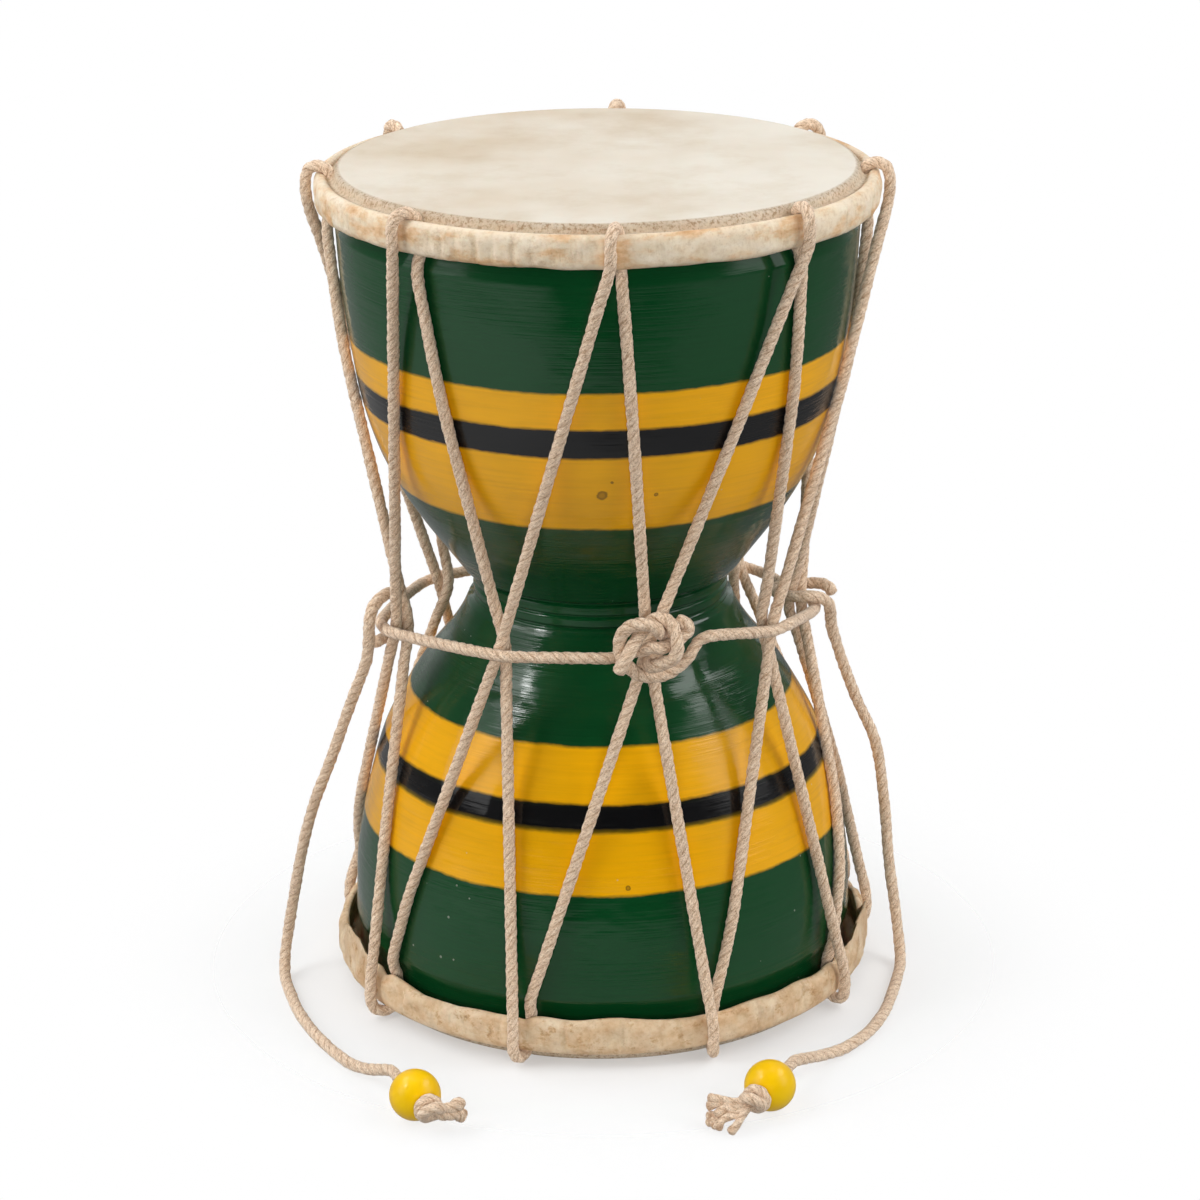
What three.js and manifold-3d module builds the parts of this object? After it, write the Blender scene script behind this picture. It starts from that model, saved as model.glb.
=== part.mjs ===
// Damaru: an hourglass drum with two skin heads, rope lacing and two beaded striker cords.
// Millimetres, +Z up, the drum's axis on Z, the lower head's face at z = 0 and the front at -Y.
// An azimuth is measured at the axis from -Y towards +X, in degrees.
import * as THREE from "three";
import { mergeVertices } from "three/addons/utils/BufferGeometryUtils.js";
import Module from "manifold-3d";

const wasm = await Module();
wasm.setup();

// Driving dimensions of the turned shell
const drumHeight = 231;
const headRadius = 70;
const bellySwell = 1.4;
const neckRadius = 34.6;
const neckHeight = 114.5;
const mouthWall = 7.3;
const neckBoreRadius = 26;
const rimRounding = 1.2;
const rimRecessDepth = 15.2;
const rimRecessSlope = 2.7;
const collarBeadHeight = 3.4;
const collarGrooveDepth = 0.9;
const collarGrooveHalfWidth = 0.6;
const collarStand = 0.7;

// Skins, canes and the rolls that they make
const skinThickness = 0.8;
const clearance = 0.3;
const ropeDiameter = 3.2;
const caneThickness = 1.8;
const rollHeight = 8.3;
const topRollDrop = 2;
const bottomRollDrop = 4;
const bendDepth = 1.1;
const laceSlotWidth = 5;

// Cords, knots and beads
const beadDiameter = 13.6;
const beadBore = 4.6;
const cordFloorGap = 0.05;
const beadSlide = 5;
const knotTurnRadius = 2.5;
const knotTurnTilt = 0.7;
const knotTurnShare = 0.75;
const strandBendShare = 0.4;
const selfClearance = 0.72;
const tasselStrandDiameter = 1.9;

// Counts
const drumSides = 36;
const ropeSides = 6;
const freeCordSides = 8;
const beadSides = 18;
const beadRings = 10;
const bowlPoints = 8;
const legSteps = 9;
const pullPasses = 400;
const loopCount = 8;
const loopsPerCircuit = 4;
const easePasses = 240;
const knotLeftSteps = 20;
const knotRightSteps = 52;
const hitchSteps = 26;
const strikerSteps = 56;
const strandSteps = 4;
const gapSamples = 4;
const turnSteps = 16;

// Places of the lacing loops and of the crossings between them, in degrees
const topLoopAzimuths = [3.5, 44.5, 88, 128, 176, 230, 272, 319.5];
const bottomLoopAzimuths = [23.5, 60.5, 101, 148, 203, 254, 305.5, 343];
const crossingAzimuths = [12.5, 51, 97, 136, 185, 232, 289, 333];
const crossingHeightShares = [1.009, 0.987, 0.898, 0.874, 0.863, 0.87, 0.934, 0.978];
const crossingRadiusShares = [0.795, 0.795, 0.76, 0.795, 0.795, 0.795, 0.795, 0.795];
const loopSpread = 1.25;
const waistCornerSpread = 3;

// Cord routes. Round a crossing: sideways along the waist, up, and out from the waist cord's line
const knotLeftRoute = [[-14.5, -1.6, 0], [-11.9, -2, -0.4], [-8.8, -2.3, -1], [-6.2, -0.7, 1.2],
  [-3.3, 1.4, 4], [-0.3, 2.9, 5.2], [2.3, 3.6, 5], [5.1, 3.5, 3.2], [7.6, 3.2, 1.6],
  [9.5, 4.8, 1.6], [8.4, 6.8, 1.6], [6, 7.3, 1]];
const knotRightRoute = [[14.5, 1.8, 0], [12.8, 1.2, 0], [11.2, -0.2, 0.6], [9.9, -2.1, 1.4], [7.2, -4.7, 1.8],
  [3.4, -6.9, 2], [-1, -7.4, 1.8], [-5, -5.8, 1.6], [-7.2, -3.2, 1.8], [-8.9, 0.2, 2.2],
  [-9.3, 3.9, 2.8], [-8.6, 7.2, 4], [-6.1, 8.9, 5], [-2.9, 8.9, 5.8], [0.3, 7.9, 5.9],
  [2.7, 5.9, 4.6], [3.8, 2.9, 2], [2.8, 0.3, 0.3], [0.8, -1.4, 0.1], [-1.1, -2.7, 0.4],
  [-2.7, -3.7, 1.8], [-2.2, -4, 3.8], [-0.1, -3.5, 5.2], [2.5, -1.6, 6], [4.6, 2, 6.6],
  [4.8, 5.6, 6.4], [3.4, 7.5, 4.4], [0.9, 7.6, 1.8], [-2.1, 6.4, 1.2], [-4.8, 4.9, 2.8],
  [-7.4, 2.3, 5.4], [-9.4, -1, 6.2], [-10.9, -4, 6]];
const leftHitchRoute = [[1.5, -4.5, 4.9], [1.5, -2, 4.6], [1.2, 1.1, 4.4], [0.8, 3.8, 3.9], [-0.5, 6.2, 2.4],
  [-2.5, 7.6, -0.3], [-5.2, 7.6, -3.5], [-7.6, 5.2, -6.4], [-8.4, 1.5, -7.9],
  [-8.6, -2.4, -7], [-8, -4.9, -4.7], [-6.4, -5.7, -1.7], [-4.4, -5.6, 0.6],
  [-2.6, -5.2, 1.8]];
const rightHitchRoute = [[-1.2, -10.8, 6.2], [-1.6, -7.6, 5.2], [-2.5, -4.2, 4.5],
  [-3.7, -1.2, 4.1], [-5.2, 2.2, 2.9], [-6.6, 4.4, -0.8], [-6.8, 4.6, -4.8],
  [-4.8, 4.4, -8.4], [-1.5, 4.3, -10.8], [2.2, 4.2, -10.6], [5.2, 4.2, -7.6],
  [5.9, 4.2, -3.6], [4.6, 4.4, 0.2], [2.6, 4.8, 2.8], [0.2, 4.5, 4.4],
  [-1.6, 3.1, 5.2]];
const leftHitchCrossing = 6;
const rightHitchCrossing = 2;

// The striker cords' free stretches, from hitch to bead: a height of 0 lies on the ground
const leftStrikerRoute = [[-68.7, -22, 85.5], [-75.1, -21, 67.6], [-79.8, -19.6, 55.2],
  [-83.4, -18, 42.5], [-87.4, -15, 23], [-89.3, -13.4, 12.6], [-90.3, -14.4, 6], [-90.2, -18.6, 1.9],
  [-89.3, -24, 0], [-87.6, -31, 0], [-84.7, -41.6, 0], [-79.9, -53.9, 0], [-74.2, -64.8, 0],
  [-68.6, -73.2, 0], [-63.6, -79, 2.8]];
const rightStrikerRoute = [[68.2, 7.4, 85.2], [72.5, 7, 73.7], [77.6, 5, 62.2], [80.3, 2, 45], [81.7, -2, 28],
  [83.2, -5, 17], [84.2, -7, 9], [84.7, -10, 3.9], [84.4, -15.4, 0.6], [83.4, -21, 0], [80.8, -33, 0],
  [77.4, -45.6, 0], [72.1, -57.6, 0], [65.4, -66.6, 0], [59, -73, 2.8]];
const leftBeadPlace = [-49.3, -101.7];
const rightBeadPlace = [43.4, -97.9];
const leftBoreAzimuth = 26.6;
const rightBoreAzimuth = -27.6;

// Cut strand ends behind each end knot, from the middle of the knot
const leftStrandTips = [[8.3, 3.3, 0.4], [8.6, 2.8, -3.8]];
const rightStrandTips = [[-12.3, 1.4, 0.1], [-12.6, 0.6, -2.2], [-12.8, -0.6, -4.4],
  [-12.9, -1.6, -6.1], [-10.2, -5.4, -5.9], [-7, -7.4, -6], [-11.6, -3.6, -6.2], [-10.6, -2.6, -3]];

// Worked-out radii of the rim, the lacing channel and the roll
const ropeRadius = ropeDiameter / 2;
const rimRadius = headRadius - skinThickness - clearance;
const bellyRadius = rimRadius + bellySwell;
const channelWidth = ropeDiameter + 2.6 * clearance;
const channelRadius = rimRadius + channelWidth / 2;
const caneInnerRadius = rimRadius + channelWidth;
const caneOuterRadius = caneInnerRadius + caneThickness;
const rollRadius = caneOuterRadius + clearance + skinThickness;
const laceRadius = rollRadius + clearance + ropeRadius;
const ropePitch = ropeDiameter + clearance;
const beadRadius = beadDiameter / 2;

// Either end of the drum: the height of its face, the way into the drum, and where its roll sits
function drumEnd(face, into, drop) {
  return { face, into, drop, rollBottom: drop + rollHeight, recess: rimRecessDepth + drop - topRollDrop };
}

const topEnd = drumEnd(drumHeight, -1, topRollDrop);
const bottomEnd = drumEnd(0, 1, bottomRollDrop);

// Bowl outline: share of the way from neck to mouth, share of the way out from neck to belly
const upperBowlShares = [[0.035, 0.08], [0.1, 0.235], [0.172, 0.407], [0.249, 0.565], [0.339, 0.713],
  [0.459, 0.837], [0.579, 0.906], [0.73, 0.969]];
const lowerBowlShares = [[0.035, 0.045], [0.083, 0.115], [0.132, 0.215], [0.205, 0.404], [0.297, 0.59],
  [0.389, 0.742], [0.541, 0.882], [0.694, 0.975]];

const colours = {
  lacquer: 0x0f3d24, skin: 0xe3d3b4, cane: 0xb98d55, rope: 0xcdb69a, bead: 0xf2c400,
};

function finish(colour, roughness) {
  return new THREE.MeshStandardMaterial({ color: colour, roughness, metalness: 0 });
}

function add(group, name, geometry, material) {
  const mesh = new THREE.Mesh(geometry, material);
  mesh.name = name;
  group.add(mesh);
  return mesh;
}

function cylindrical(radius, azimuth, height) {
  const angle = THREE.MathUtils.degToRad(azimuth);
  return new THREE.Vector3(radius * Math.sin(angle), -radius * Math.cos(angle), height);
}

// Solids: a plain indexed geometry with its faces out, and its manifold form
function bare(geometry) {
  const plain = geometry.clone();
  plain.deleteAttribute("normal");
  plain.deleteAttribute("uv");
  return mergeVertices(plain, clearance / 100);
}

function signedVolume(geometry) {
  const position = geometry.getAttribute("position");
  const index = geometry.getIndex();
  const [a, b, c] = [new THREE.Vector3(), new THREE.Vector3(), new THREE.Vector3()];
  let total = 0;
  for (let i = 0; i < index.count; i += 3) {
    a.fromBufferAttribute(position, index.getX(i));
    b.fromBufferAttribute(position, index.getX(i + 1));
    c.fromBufferAttribute(position, index.getX(i + 2));
    total += a.dot(b.cross(c));
  }
  return total;
}

function facingOut(geometry) {
  const solid = bare(geometry);
  if (signedVolume(solid) < 0) {
    const index = Array.from(solid.getIndex().array);
    solid.setIndex(index.reverse());
  }
  return solid;
}

function toManifold(geometry) {
  const solid = facingOut(geometry);
  return new wasm.Manifold(new wasm.Mesh({
    numProp: 3,
    vertProperties: new Float32Array(solid.getAttribute("position").array),
    triVerts: new Uint32Array(solid.getIndex().array),
  }));
}

function fromManifold(manifold) {
  const mesh = manifold.getMesh();
  const geometry = new THREE.BufferGeometry();
  geometry.setAttribute("position", new THREE.BufferAttribute(new Float32Array(mesh.vertProperties), 3));
  geometry.setIndex(new THREE.BufferAttribute(new Uint32Array(mesh.triVerts), 1));
  geometry.computeVertexNormals();
  return geometry;
}

function unite(geometries) {
  const [first, ...rest] = geometries.map(toManifold);
  return fromManifold(rest.reduce((sum, next) => sum.add(next), first));
}

// A ring or disc turned about Z from points of [radius, height]
function turned(outline, sides = drumSides) {
  const points = outline.map(([radius, height]) => new THREE.Vector2(radius, height));
  const geometry = new THREE.LatheGeometry(points, sides);
  geometry.rotateX(Math.PI / 2);
  return facingOut(geometry);
}

// A route through given points: each point is a ring of the tube, and no ring is added between them
class Route extends THREE.Curve {
  constructor(points, closed) {
    super();
    this.points = points;
    this.closed = closed;
    this.spans = closed ? points.length : points.length - 1;
  }

  point(i) {
    const count = this.points.length;
    if (this.closed) return this.points[(i + count) % count];
    return this.points[THREE.MathUtils.clamp(i, 0, count - 1)];
  }

  getPoint(t, target = new THREE.Vector3()) {
    const at = t * this.spans;
    const i = Math.min(Math.floor(at), this.spans - 1);
    return target.copy(this.point(i)).lerp(this.point(i + 1), at - i);
  }

  getPointAt(u, target) {
    return this.getPoint(u, target);
  }

  getTangent(t, target = new THREE.Vector3()) {
    const i = Math.round(t * this.spans);
    const before = this.point(i).clone().sub(this.point(i - 1)).normalize();
    const after = this.point(i + 1).clone().sub(this.point(i)).normalize();
    return target.copy(before.add(after)).normalize();
  }

  getTangentAt(u, target) {
    return this.getTangent(u, target);
  }
}

function roundSection(radius, sides) {
  const shape = new THREE.Shape();
  for (let i = 0; i < sides; i++) {
    const angle = (i + 0.5) * 2 * Math.PI / sides;
    const [x, y] = [radius * Math.cos(angle), radius * Math.sin(angle)];
    if (i === 0) shape.moveTo(x, y);
    else shape.lineTo(x, y);
  }
  shape.closePath();
  return shape;
}

function openTube(points, radius, sides) {
  const route = new Route(points, false);
  return new THREE.ExtrudeGeometry(roundSection(radius, sides), {
    steps: points.length - 1, extrudePath: route, bevelEnabled: false,
  });
}

function closedTube(points, radius, sides) {
  const route = new Route(points, true);
  return new THREE.TubeGeometry(route, points.length, radius, sides, true);
}

function smooth(points, count) {
  return new THREE.CatmullRomCurve3(points, false, "centripetal").getSpacedPoints(count);
}

// The shell's outline, from the lower rim up the outside and back down the bore
function bowl(shares, direction, reach, inner, outer) {
  const width = outer - inner;
  return shares.map(([along, out]) => [inner + out * width, neckHeight + direction * along * reach]);
}

function evened(points, count) {
  const curve = new THREE.SplineCurve(points.map(([radius, height]) => new THREE.Vector2(radius, height)));
  return curve.getPoints(count).map((point) => [point.x, point.y]);
}

const upperReach = drumHeight - neckHeight;
const upperOuterShares = [...upperBowlShares, [1 - topEnd.recess / upperReach, 1]];
const lowerOuterShares = [...lowerBowlShares, [1 - bottomEnd.recess / neckHeight, 1]];
const rimTop = drumHeight - skinThickness - clearance;
const rimBottom = skinThickness + clearance;

function collar() {
  const crest = neckRadius + collarStand;
  const root = crest - collarGrooveDepth;
  const points = [];
  for (const side of [-1, 0, 1]) {
    const middle = neckHeight + side * collarBeadHeight;
    points.push([crest, middle - collarGrooveHalfWidth]);
    points.push([root, middle]);
    points.push([crest, middle + collarGrooveHalfWidth]);
  }
  return points;
}

function outerOutline() {
  const lower = evened(bowl(lowerOuterShares, -1, neckHeight, neckRadius, bellyRadius), bowlPoints).reverse();
  const upper = evened(bowl(upperOuterShares, 1, upperReach, neckRadius, bellyRadius), bowlPoints);
  return [
    [rimRadius - rimRounding, rimBottom], [rimRadius, rimBottom + rimRounding],
    [rimRadius, bottomEnd.recess - rimRecessSlope], ...lower, ...collar(), ...upper,
    [rimRadius, drumHeight - topEnd.recess + rimRecessSlope],
    [rimRadius, rimTop - rimRounding], [rimRadius - rimRounding, rimTop],
  ];
}

function innerOutline() {
  const bore = bellyRadius - mouthWall;
  const upper = bowl(upperBowlShares.filter((_, i) => i % 2 === 1), 1, upperReach, neckBoreRadius, bore);
  const lower = bowl(lowerBowlShares.filter((_, i) => i % 2 === 1), -1, neckHeight, neckBoreRadius, bore);
  return [
    [bore, rimTop], ...upper.reverse(), [neckBoreRadius, neckHeight + collarBeadHeight],
    [neckBoreRadius, neckHeight - collarBeadHeight], ...lower, [bore, rimBottom],
  ];
}

function shell() {
  const outline = [...outerOutline(), ...innerOutline()];
  return turned([...outline, outline[0]]);
}

// A head: the skin's flat face, the bend over the rim and the lap round the cane, from depths below the face
function headOutline({ face, into, drop, rollBottom }) {
  const at = (radius, depth) => [radius, face + into * depth];
  const flat = headRadius - skinThickness - rimRounding / 2;
  const roll = skinThickness;
  const lapEnd = caneInnerRadius + roll / 2;
  const inside = rollRadius - skinThickness;
  return [
    at(0, 0), at(flat, 0), at(headRadius - rimRounding / 3, bendDepth / 3), at(headRadius, bendDepth),
    at(caneInnerRadius - roll, drop), at(rollRadius - 2 * roll, drop),
    at(rollRadius - roll / 2, drop + roll), at(rollRadius, drop + 3 * roll),
    at(rollRadius, rollBottom - 3 * roll), at(rollRadius - roll / 2, rollBottom - roll),
    at(rollRadius - 2 * roll, rollBottom), at(lapEnd, rollBottom),
    at(lapEnd, rollBottom - skinThickness), at(inside - roll, rollBottom - skinThickness),
    at(inside, rollBottom - 2 * roll), at(inside, drop + 2 * roll),
    at(inside - roll, drop + skinThickness), at(caneInnerRadius - roll, drop + skinThickness),
    at(headRadius - skinThickness, bendDepth + skinThickness / 2),
    at(headRadius - skinThickness, bendDepth), at(flat, skinThickness), at(0, skinThickness),
  ];
}

function laceSlot(azimuth, face) {
  const from = rimRadius + clearance / 3;
  const to = channelRadius + ropeDiameter / 3 + ropeRadius + clearance;
  const slot = new THREE.BoxGeometry(to - from, laceSlotWidth, 2 * bottomEnd.rollBottom);
  slot.translate((from + to) / 2, 0, face);
  slot.rotateZ(THREE.MathUtils.degToRad(azimuth - 90));
  return toManifold(slot);
}

function head(end, azimuths) {
  const skin = toManifold(turned(headOutline(end)));
  return fromManifold(azimuths.reduce((left, azimuth) => left.subtract(laceSlot(azimuth, end.face)), skin));
}

function cane({ face, into, drop, rollBottom }) {
  const top = drop + skinThickness + clearance;
  const bottom = rollBottom - skinThickness - clearance;
  const edge = caneThickness / 3;
  const at = (radius, depth) => [radius, face + into * depth];
  const outline = [
    at(caneInnerRadius + edge, top), at(caneOuterRadius - edge, top), at(caneOuterRadius, top + edge),
    at(caneOuterRadius, bottom - edge), at(caneOuterRadius - edge, bottom),
    at(caneInnerRadius + edge, bottom), at(caneInnerRadius, bottom - edge), at(caneInnerRadius, top + edge),
  ];
  return turned([...outline, outline[0]]);
}

// Lacing: the shell's radius at a height, which keeps the rope out
const shellOutline = outerOutline();
const ropeClear = clearance + ropeRadius;

function shellRadius(height) {
  const i = shellOutline.findIndex((point) => point[1] > height);
  if (i < 1) return rimRadius;
  const [low, high] = [shellOutline[i - 1], shellOutline[i]];
  const share = (height - low[1]) / (high[1] - low[1]);
  return low[0] + share * (high[0] - low[0]);
}

// A rope stretch pulled straight between two points, pushed out wherever the drum is in its way
function pulled(from, to) {
  const points = [];
  for (let i = 0; i <= legSteps; i++) {
    points.push(from.clone().lerp(to, i / legSteps));
  }
  for (let pass = 0; pass < pullPasses; pass++) {
    for (let i = 1; i < legSteps; i++) {
      points[i].addVectors(points[i - 1], points[i + 1]).multiplyScalar(1 / 2);
      const out = Math.hypot(points[i].x, points[i].y);
      const grow = Math.max(1, (shellRadius(points[i].z) + ropeClear) / out);
      points[i].x *= grow;
      points[i].y *= grow;
    }
  }
  return points.slice(1, -1);
}

// A loop over a roll: from the outside leg, over, and down the channel between roll and shell
function laceLoop(azimuth, { face, into, drop, rollBottom, recess }) {
  const over = drop - clearance - ropeRadius;
  const corner = ropeDiameter;
  return [
    [laceRadius, rollBottom - 2 * skinThickness, -1], [laceRadius, over + corner, -1],
    [laceRadius - corner / 3, over + corner / 4, -0.7], [laceRadius - corner, over, -0.2],
    [channelRadius + corner / 3, over + corner / 4, 0.2], [channelRadius, over + corner, 0.7],
    [channelRadius, rollBottom, 0.9], [bellyRadius + ropeClear, recess + clearance, 1],
  ].map(([radius, depth, spread]) => cylindrical(radius, azimuth + spread * loopSpread, face + into * depth));
}

// At a crossing the inner leg, the outer leg and the waist cord lie one on the other: layers 0, 1 and 2
function crossing(index, layer, spread = 0) {
  const i = index % loopCount;
  const radius = crossingRadiusShares[i] * headRadius + layer * ropePitch;
  return cylindrical(radius, crossingAzimuths[i] + spread, crossingHeightShares[i] * neckHeight);
}

function leg(from, middle, to) {
  return [...pulled(from, middle), middle, ...pulled(middle, to)];
}

// Each circuit takes every other loop: a short leg down, a loop under, a long leg up and a loop over
function lacingPoints(first) {
  const points = [];
  for (let n = 0; n < loopsPerCircuit; n++) {
    const k = first + 2 * n;
    const next = (k + 2) % loopCount;
    const over = laceLoop(topLoopAzimuths[k], topEnd);
    const under = laceLoop(bottomLoopAzimuths[k], bottomEnd);
    const landing = laceLoop(topLoopAzimuths[next], topEnd)[0];
    points.push(...over, ...leg(over.at(-1), crossing(k, 0), under[0]));
    points.push(...under, ...leg(under.at(-1), crossing(k + 1, 1), landing));
  }
  return points;
}

// A cord pushed off itself: strands nearer than a rope's pitch move apart and every span keeps its length.
// The held points at either end stay where they are.
function eased(points, held, pitch) {
  const spans = points.slice(1).map((point, i) => point.distanceTo(points[i]));
  const near = Math.ceil(2 * pitch / Math.min(...spans));
  const push = new THREE.Vector3();
  const moves = (i) => i >= held && i < points.length - held;
  const shift = (i, share) => {
    if (moves(i)) points[i].addScaledVector(push, share);
  };
  for (let pass = 0; pass < easePasses; pass++) {
    for (let i = 0; i < points.length; i++) {
      for (let j = i + near; j < points.length; j++) {
        push.subVectors(points[j], points[i]);
        const gap = push.length();
        if (gap >= pitch) continue;
        push.multiplyScalar((pitch - gap) / gap / 2);
        shift(j, 1);
        shift(i, -1);
      }
    }
    for (let i = 0; i < spans.length; i++) {
      push.subVectors(points[i + 1], points[i]);
      push.multiplyScalar((spans[i] / push.length() - 1) / 2);
      shift(i + 1, 1);
      shift(i, -1);
    }
  }
  return points;
}

// The least gap between two stretches of one cord, or between two cords
function segmentGap(a, b, c, d) {
  let least = Infinity;
  const [p, q] = [new THREE.Vector3(), new THREE.Vector3()];
  for (let s = 0; s <= gapSamples; s++) {
    p.lerpVectors(a, b, s / gapSamples);
    for (let t = 0; t <= gapSamples; t++) {
      least = Math.min(least, p.distanceTo(q.lerpVectors(c, d, t / gapSamples)));
    }
  }
  return least;
}

function selfGap(name, points, diameter) {
  let least = Infinity;
  for (let i = 0; i < points.length - 1; i++) {
    let along = 0;
    for (let j = i + 1; j < points.length - 1; j++) {
      if (along > 2 * diameter) {
        least = Math.min(least, segmentGap(points[i], points[i + 1], points[j], points[j + 1]));
      }
      along += points[j].distanceTo(points[j + 1]);
    }
  }
  console.log(`${name}: least gap to itself ${(least - diameter).toFixed(2)} mm`);
}

// A place round a crossing, from the waist cord's line there
function beside(index, [sideways, up, out]) {
  const middle = crossing(index, 2);
  const right = cylindrical(1, crossingAzimuths[index] + 90, 0);
  const away = cylindrical(1, crossingAzimuths[index], 0);
  return middle.addScaledVector(right, sideways).addScaledVector(away, out).setZ(middle.z + up);
}

function roundCrossing(index, route, steps) {
  return smooth(route.map((place) => beside(index, place)), steps);
}

function waistCorner(index) {
  return [-1, 0, 1].map((side) => crossing(index, 2, side * waistCornerSpread));
}

// The waist cord: from the knot's middle to the right, round outside every crossing, and back into the knot
function waistCordPoints() {
  const right = roundCrossing(0, knotRightRoute, knotRightSteps).reverse();
  const left = roundCrossing(0, knotLeftRoute, knotLeftSteps);
  const round = [];
  for (let i = 1; i < loopCount; i++) {
    round.push(...waistCorner(i));
  }
  return [...right, ...round, ...left];
}


function hitchPoints(index, route) {
  return eased(roundCrossing(index, route, hitchSteps), 2, ropeDiameter + selfClearance);
}

function knotted(name, points) {
  selfGap(name, points, ropeDiameter);
  return openTube(points, ropeRadius, ropeSides);
}

// A striker: its bead's middle, the bore's azimuth, the free cord and the knot that stops the bead
function striker([x, y], boreAzimuth, route, hitchRope) {
  const axis = cylindrical(1, boreAzimuth, 0);
  const bead = new THREE.Vector3(x, y, beadRadius + cordFloorGap);
  const turnAlong = Math.sqrt((beadRadius + clearance + ropeRadius) ** 2 - knotTurnRadius ** 2);
  const knot = bead.clone().addScaledVector(axis, turnAlong + ropeRadius / 2);
  const lowest = ropeRadius + cordFloorGap;
  const exit = hitchRope[0];
  const out = exit.clone().sub(hitchRope[1]).normalize();
  const start = exit.clone().addScaledVector(out, clearance);
  const along = (distance) => bead.clone().addScaledVector(axis, distance);
  const entry = -beadRadius - beadSlide;
  const end = turnAlong + ropeRadius / 2 - knotTurnRadius - clearance;
  const cord = smooth([
    start,
    start.clone().addScaledVector(out, ropeDiameter),
    ...route.map((point) => new THREE.Vector3(...point)),
    along(entry - ropeDiameter), along(entry),
  ].map((point) => point.setZ(Math.max(point.z, lowest))), strikerSteps);
  cord.forEach((point) => point.setZ(Math.max(point.z, lowest)));
  return { axis, bead, knot, turnAlong, cord: [...cord, along(0), along(end)] };
}

function beadOnCord({ axis, bead }) {
  const bore = beadBore / 2;
  const edge = Math.asin((bore + clearance) / beadRadius);
  const outline = [];
  for (let i = 0; i <= beadRings; i++) {
    const angle = edge + (Math.PI - 2 * edge) * i / beadRings;
    outline.push([beadRadius * Math.sin(angle), -beadRadius * Math.cos(angle)]);
  }
  const lip = beadRadius * Math.cos(edge) - clearance;
  outline.push([bore, lip], [bore, -lip]);
  return placed(turned([...outline, outline[0]], beadSides), axis, bead);
}

function placed(geometry, axis, middle) {
  const turn = new THREE.Quaternion().setFromUnitVectors(new THREE.Vector3(0, 0, 1), axis);
  return geometry.applyQuaternion(turn).translate(middle.x, middle.y, middle.z);
}

// An end knot: two turns of the cord drawn up against the bead, with the cut strands coming out between them
function endKnot({ axis, bead, knot, turnAlong }, tips, strandDiameter) {
  const turn = new THREE.TorusGeometry(knotTurnRadius, ropeRadius, freeCordSides, turnSteps);
  const crossed = turn.clone().rotateX(knotTurnTilt).translate(0, 0, ropeDiameter * knotTurnShare);
  const core = new THREE.SphereGeometry(knotTurnRadius, turnSteps, freeCordSides);
  const against = bead.clone().addScaledVector(axis, turnAlong);
  const strands = tips.map((tip) => {
    const end = knot.clone().add(new THREE.Vector3(...tip));
    end.z = Math.max(end.z, strandDiameter / 2 + cordFloorGap);
    const bend = knot.clone().lerp(end, strandBendShare).addScaledVector(axis, ropeRadius);
    return openTube(smooth([knot, bend, end], strandSteps), strandDiameter / 2, ropeSides);
  });
  const loops = [placed(turn, axis, against), placed(crossed, axis, against)];
  return unite([...loops, placed(core, axis, knot), ...strands]);
}

const waist = eased(waistCordPoints(), 1, ropeDiameter + selfClearance);
const leftHitch = hitchPoints(leftHitchCrossing, leftHitchRoute);
const rightHitch = hitchPoints(rightHitchCrossing, rightHitchRoute);
const left = striker(leftBeadPlace, leftBoreAzimuth, leftStrikerRoute, leftHitch);
const right = striker(rightBeadPlace, rightBoreAzimuth, rightStrikerRoute, rightHitch);

const damaru = new THREE.Group();
add(damaru, "shell", shell(), finish(colours.lacquer, 0.2));
add(damaru, "top_head", head(topEnd, topLoopAzimuths), finish(colours.skin, 0.7));
add(damaru, "bottom_head", head(bottomEnd, bottomLoopAzimuths), finish(colours.skin, 0.7));
add(damaru, "top_hoop", cane(topEnd), finish(colours.cane, 0.8));
add(damaru, "bottom_hoop", cane(bottomEnd), finish(colours.cane, 0.8));
add(damaru, "lacing_a", closedTube(lacingPoints(0), ropeRadius, ropeSides), finish(colours.rope, 0.9));
add(damaru, "lacing_b", closedTube(lacingPoints(1), ropeRadius, ropeSides), finish(colours.rope, 0.9));
add(damaru, "waist_cord", knotted("waist cord", waist), finish(colours.rope, 0.9));
add(damaru, "hitch_left", knotted("left hitch", leftHitch), finish(colours.rope, 0.9));
add(damaru, "hitch_right", knotted("right hitch", rightHitch), finish(colours.rope, 0.9));
add(damaru, "striker_cord_left", openTube(left.cord, ropeRadius, freeCordSides), finish(colours.rope, 0.9));
add(damaru, "striker_cord_right", openTube(right.cord, ropeRadius, freeCordSides), finish(colours.rope, 0.9));
add(damaru, "bead_left", beadOnCord(left), finish(colours.bead, 0.15));
add(damaru, "bead_right", beadOnCord(right), finish(colours.bead, 0.15));
add(damaru, "end_knot_left", endKnot(left, leftStrandTips, ropeDiameter), finish(colours.rope, 0.9));
const tassel = endKnot(right, rightStrandTips, tasselStrandDiameter);
add(damaru, "end_knot_right", tassel, finish(colours.rope, 0.9));

export default damaru;
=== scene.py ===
"""Looks of the damaru: lacquered shell, rawhide heads, laid rope, glossy beads, on a white studio floor."""
import math

import bpy
import numpy as np
from mathutils import Matrix, Vector


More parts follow.
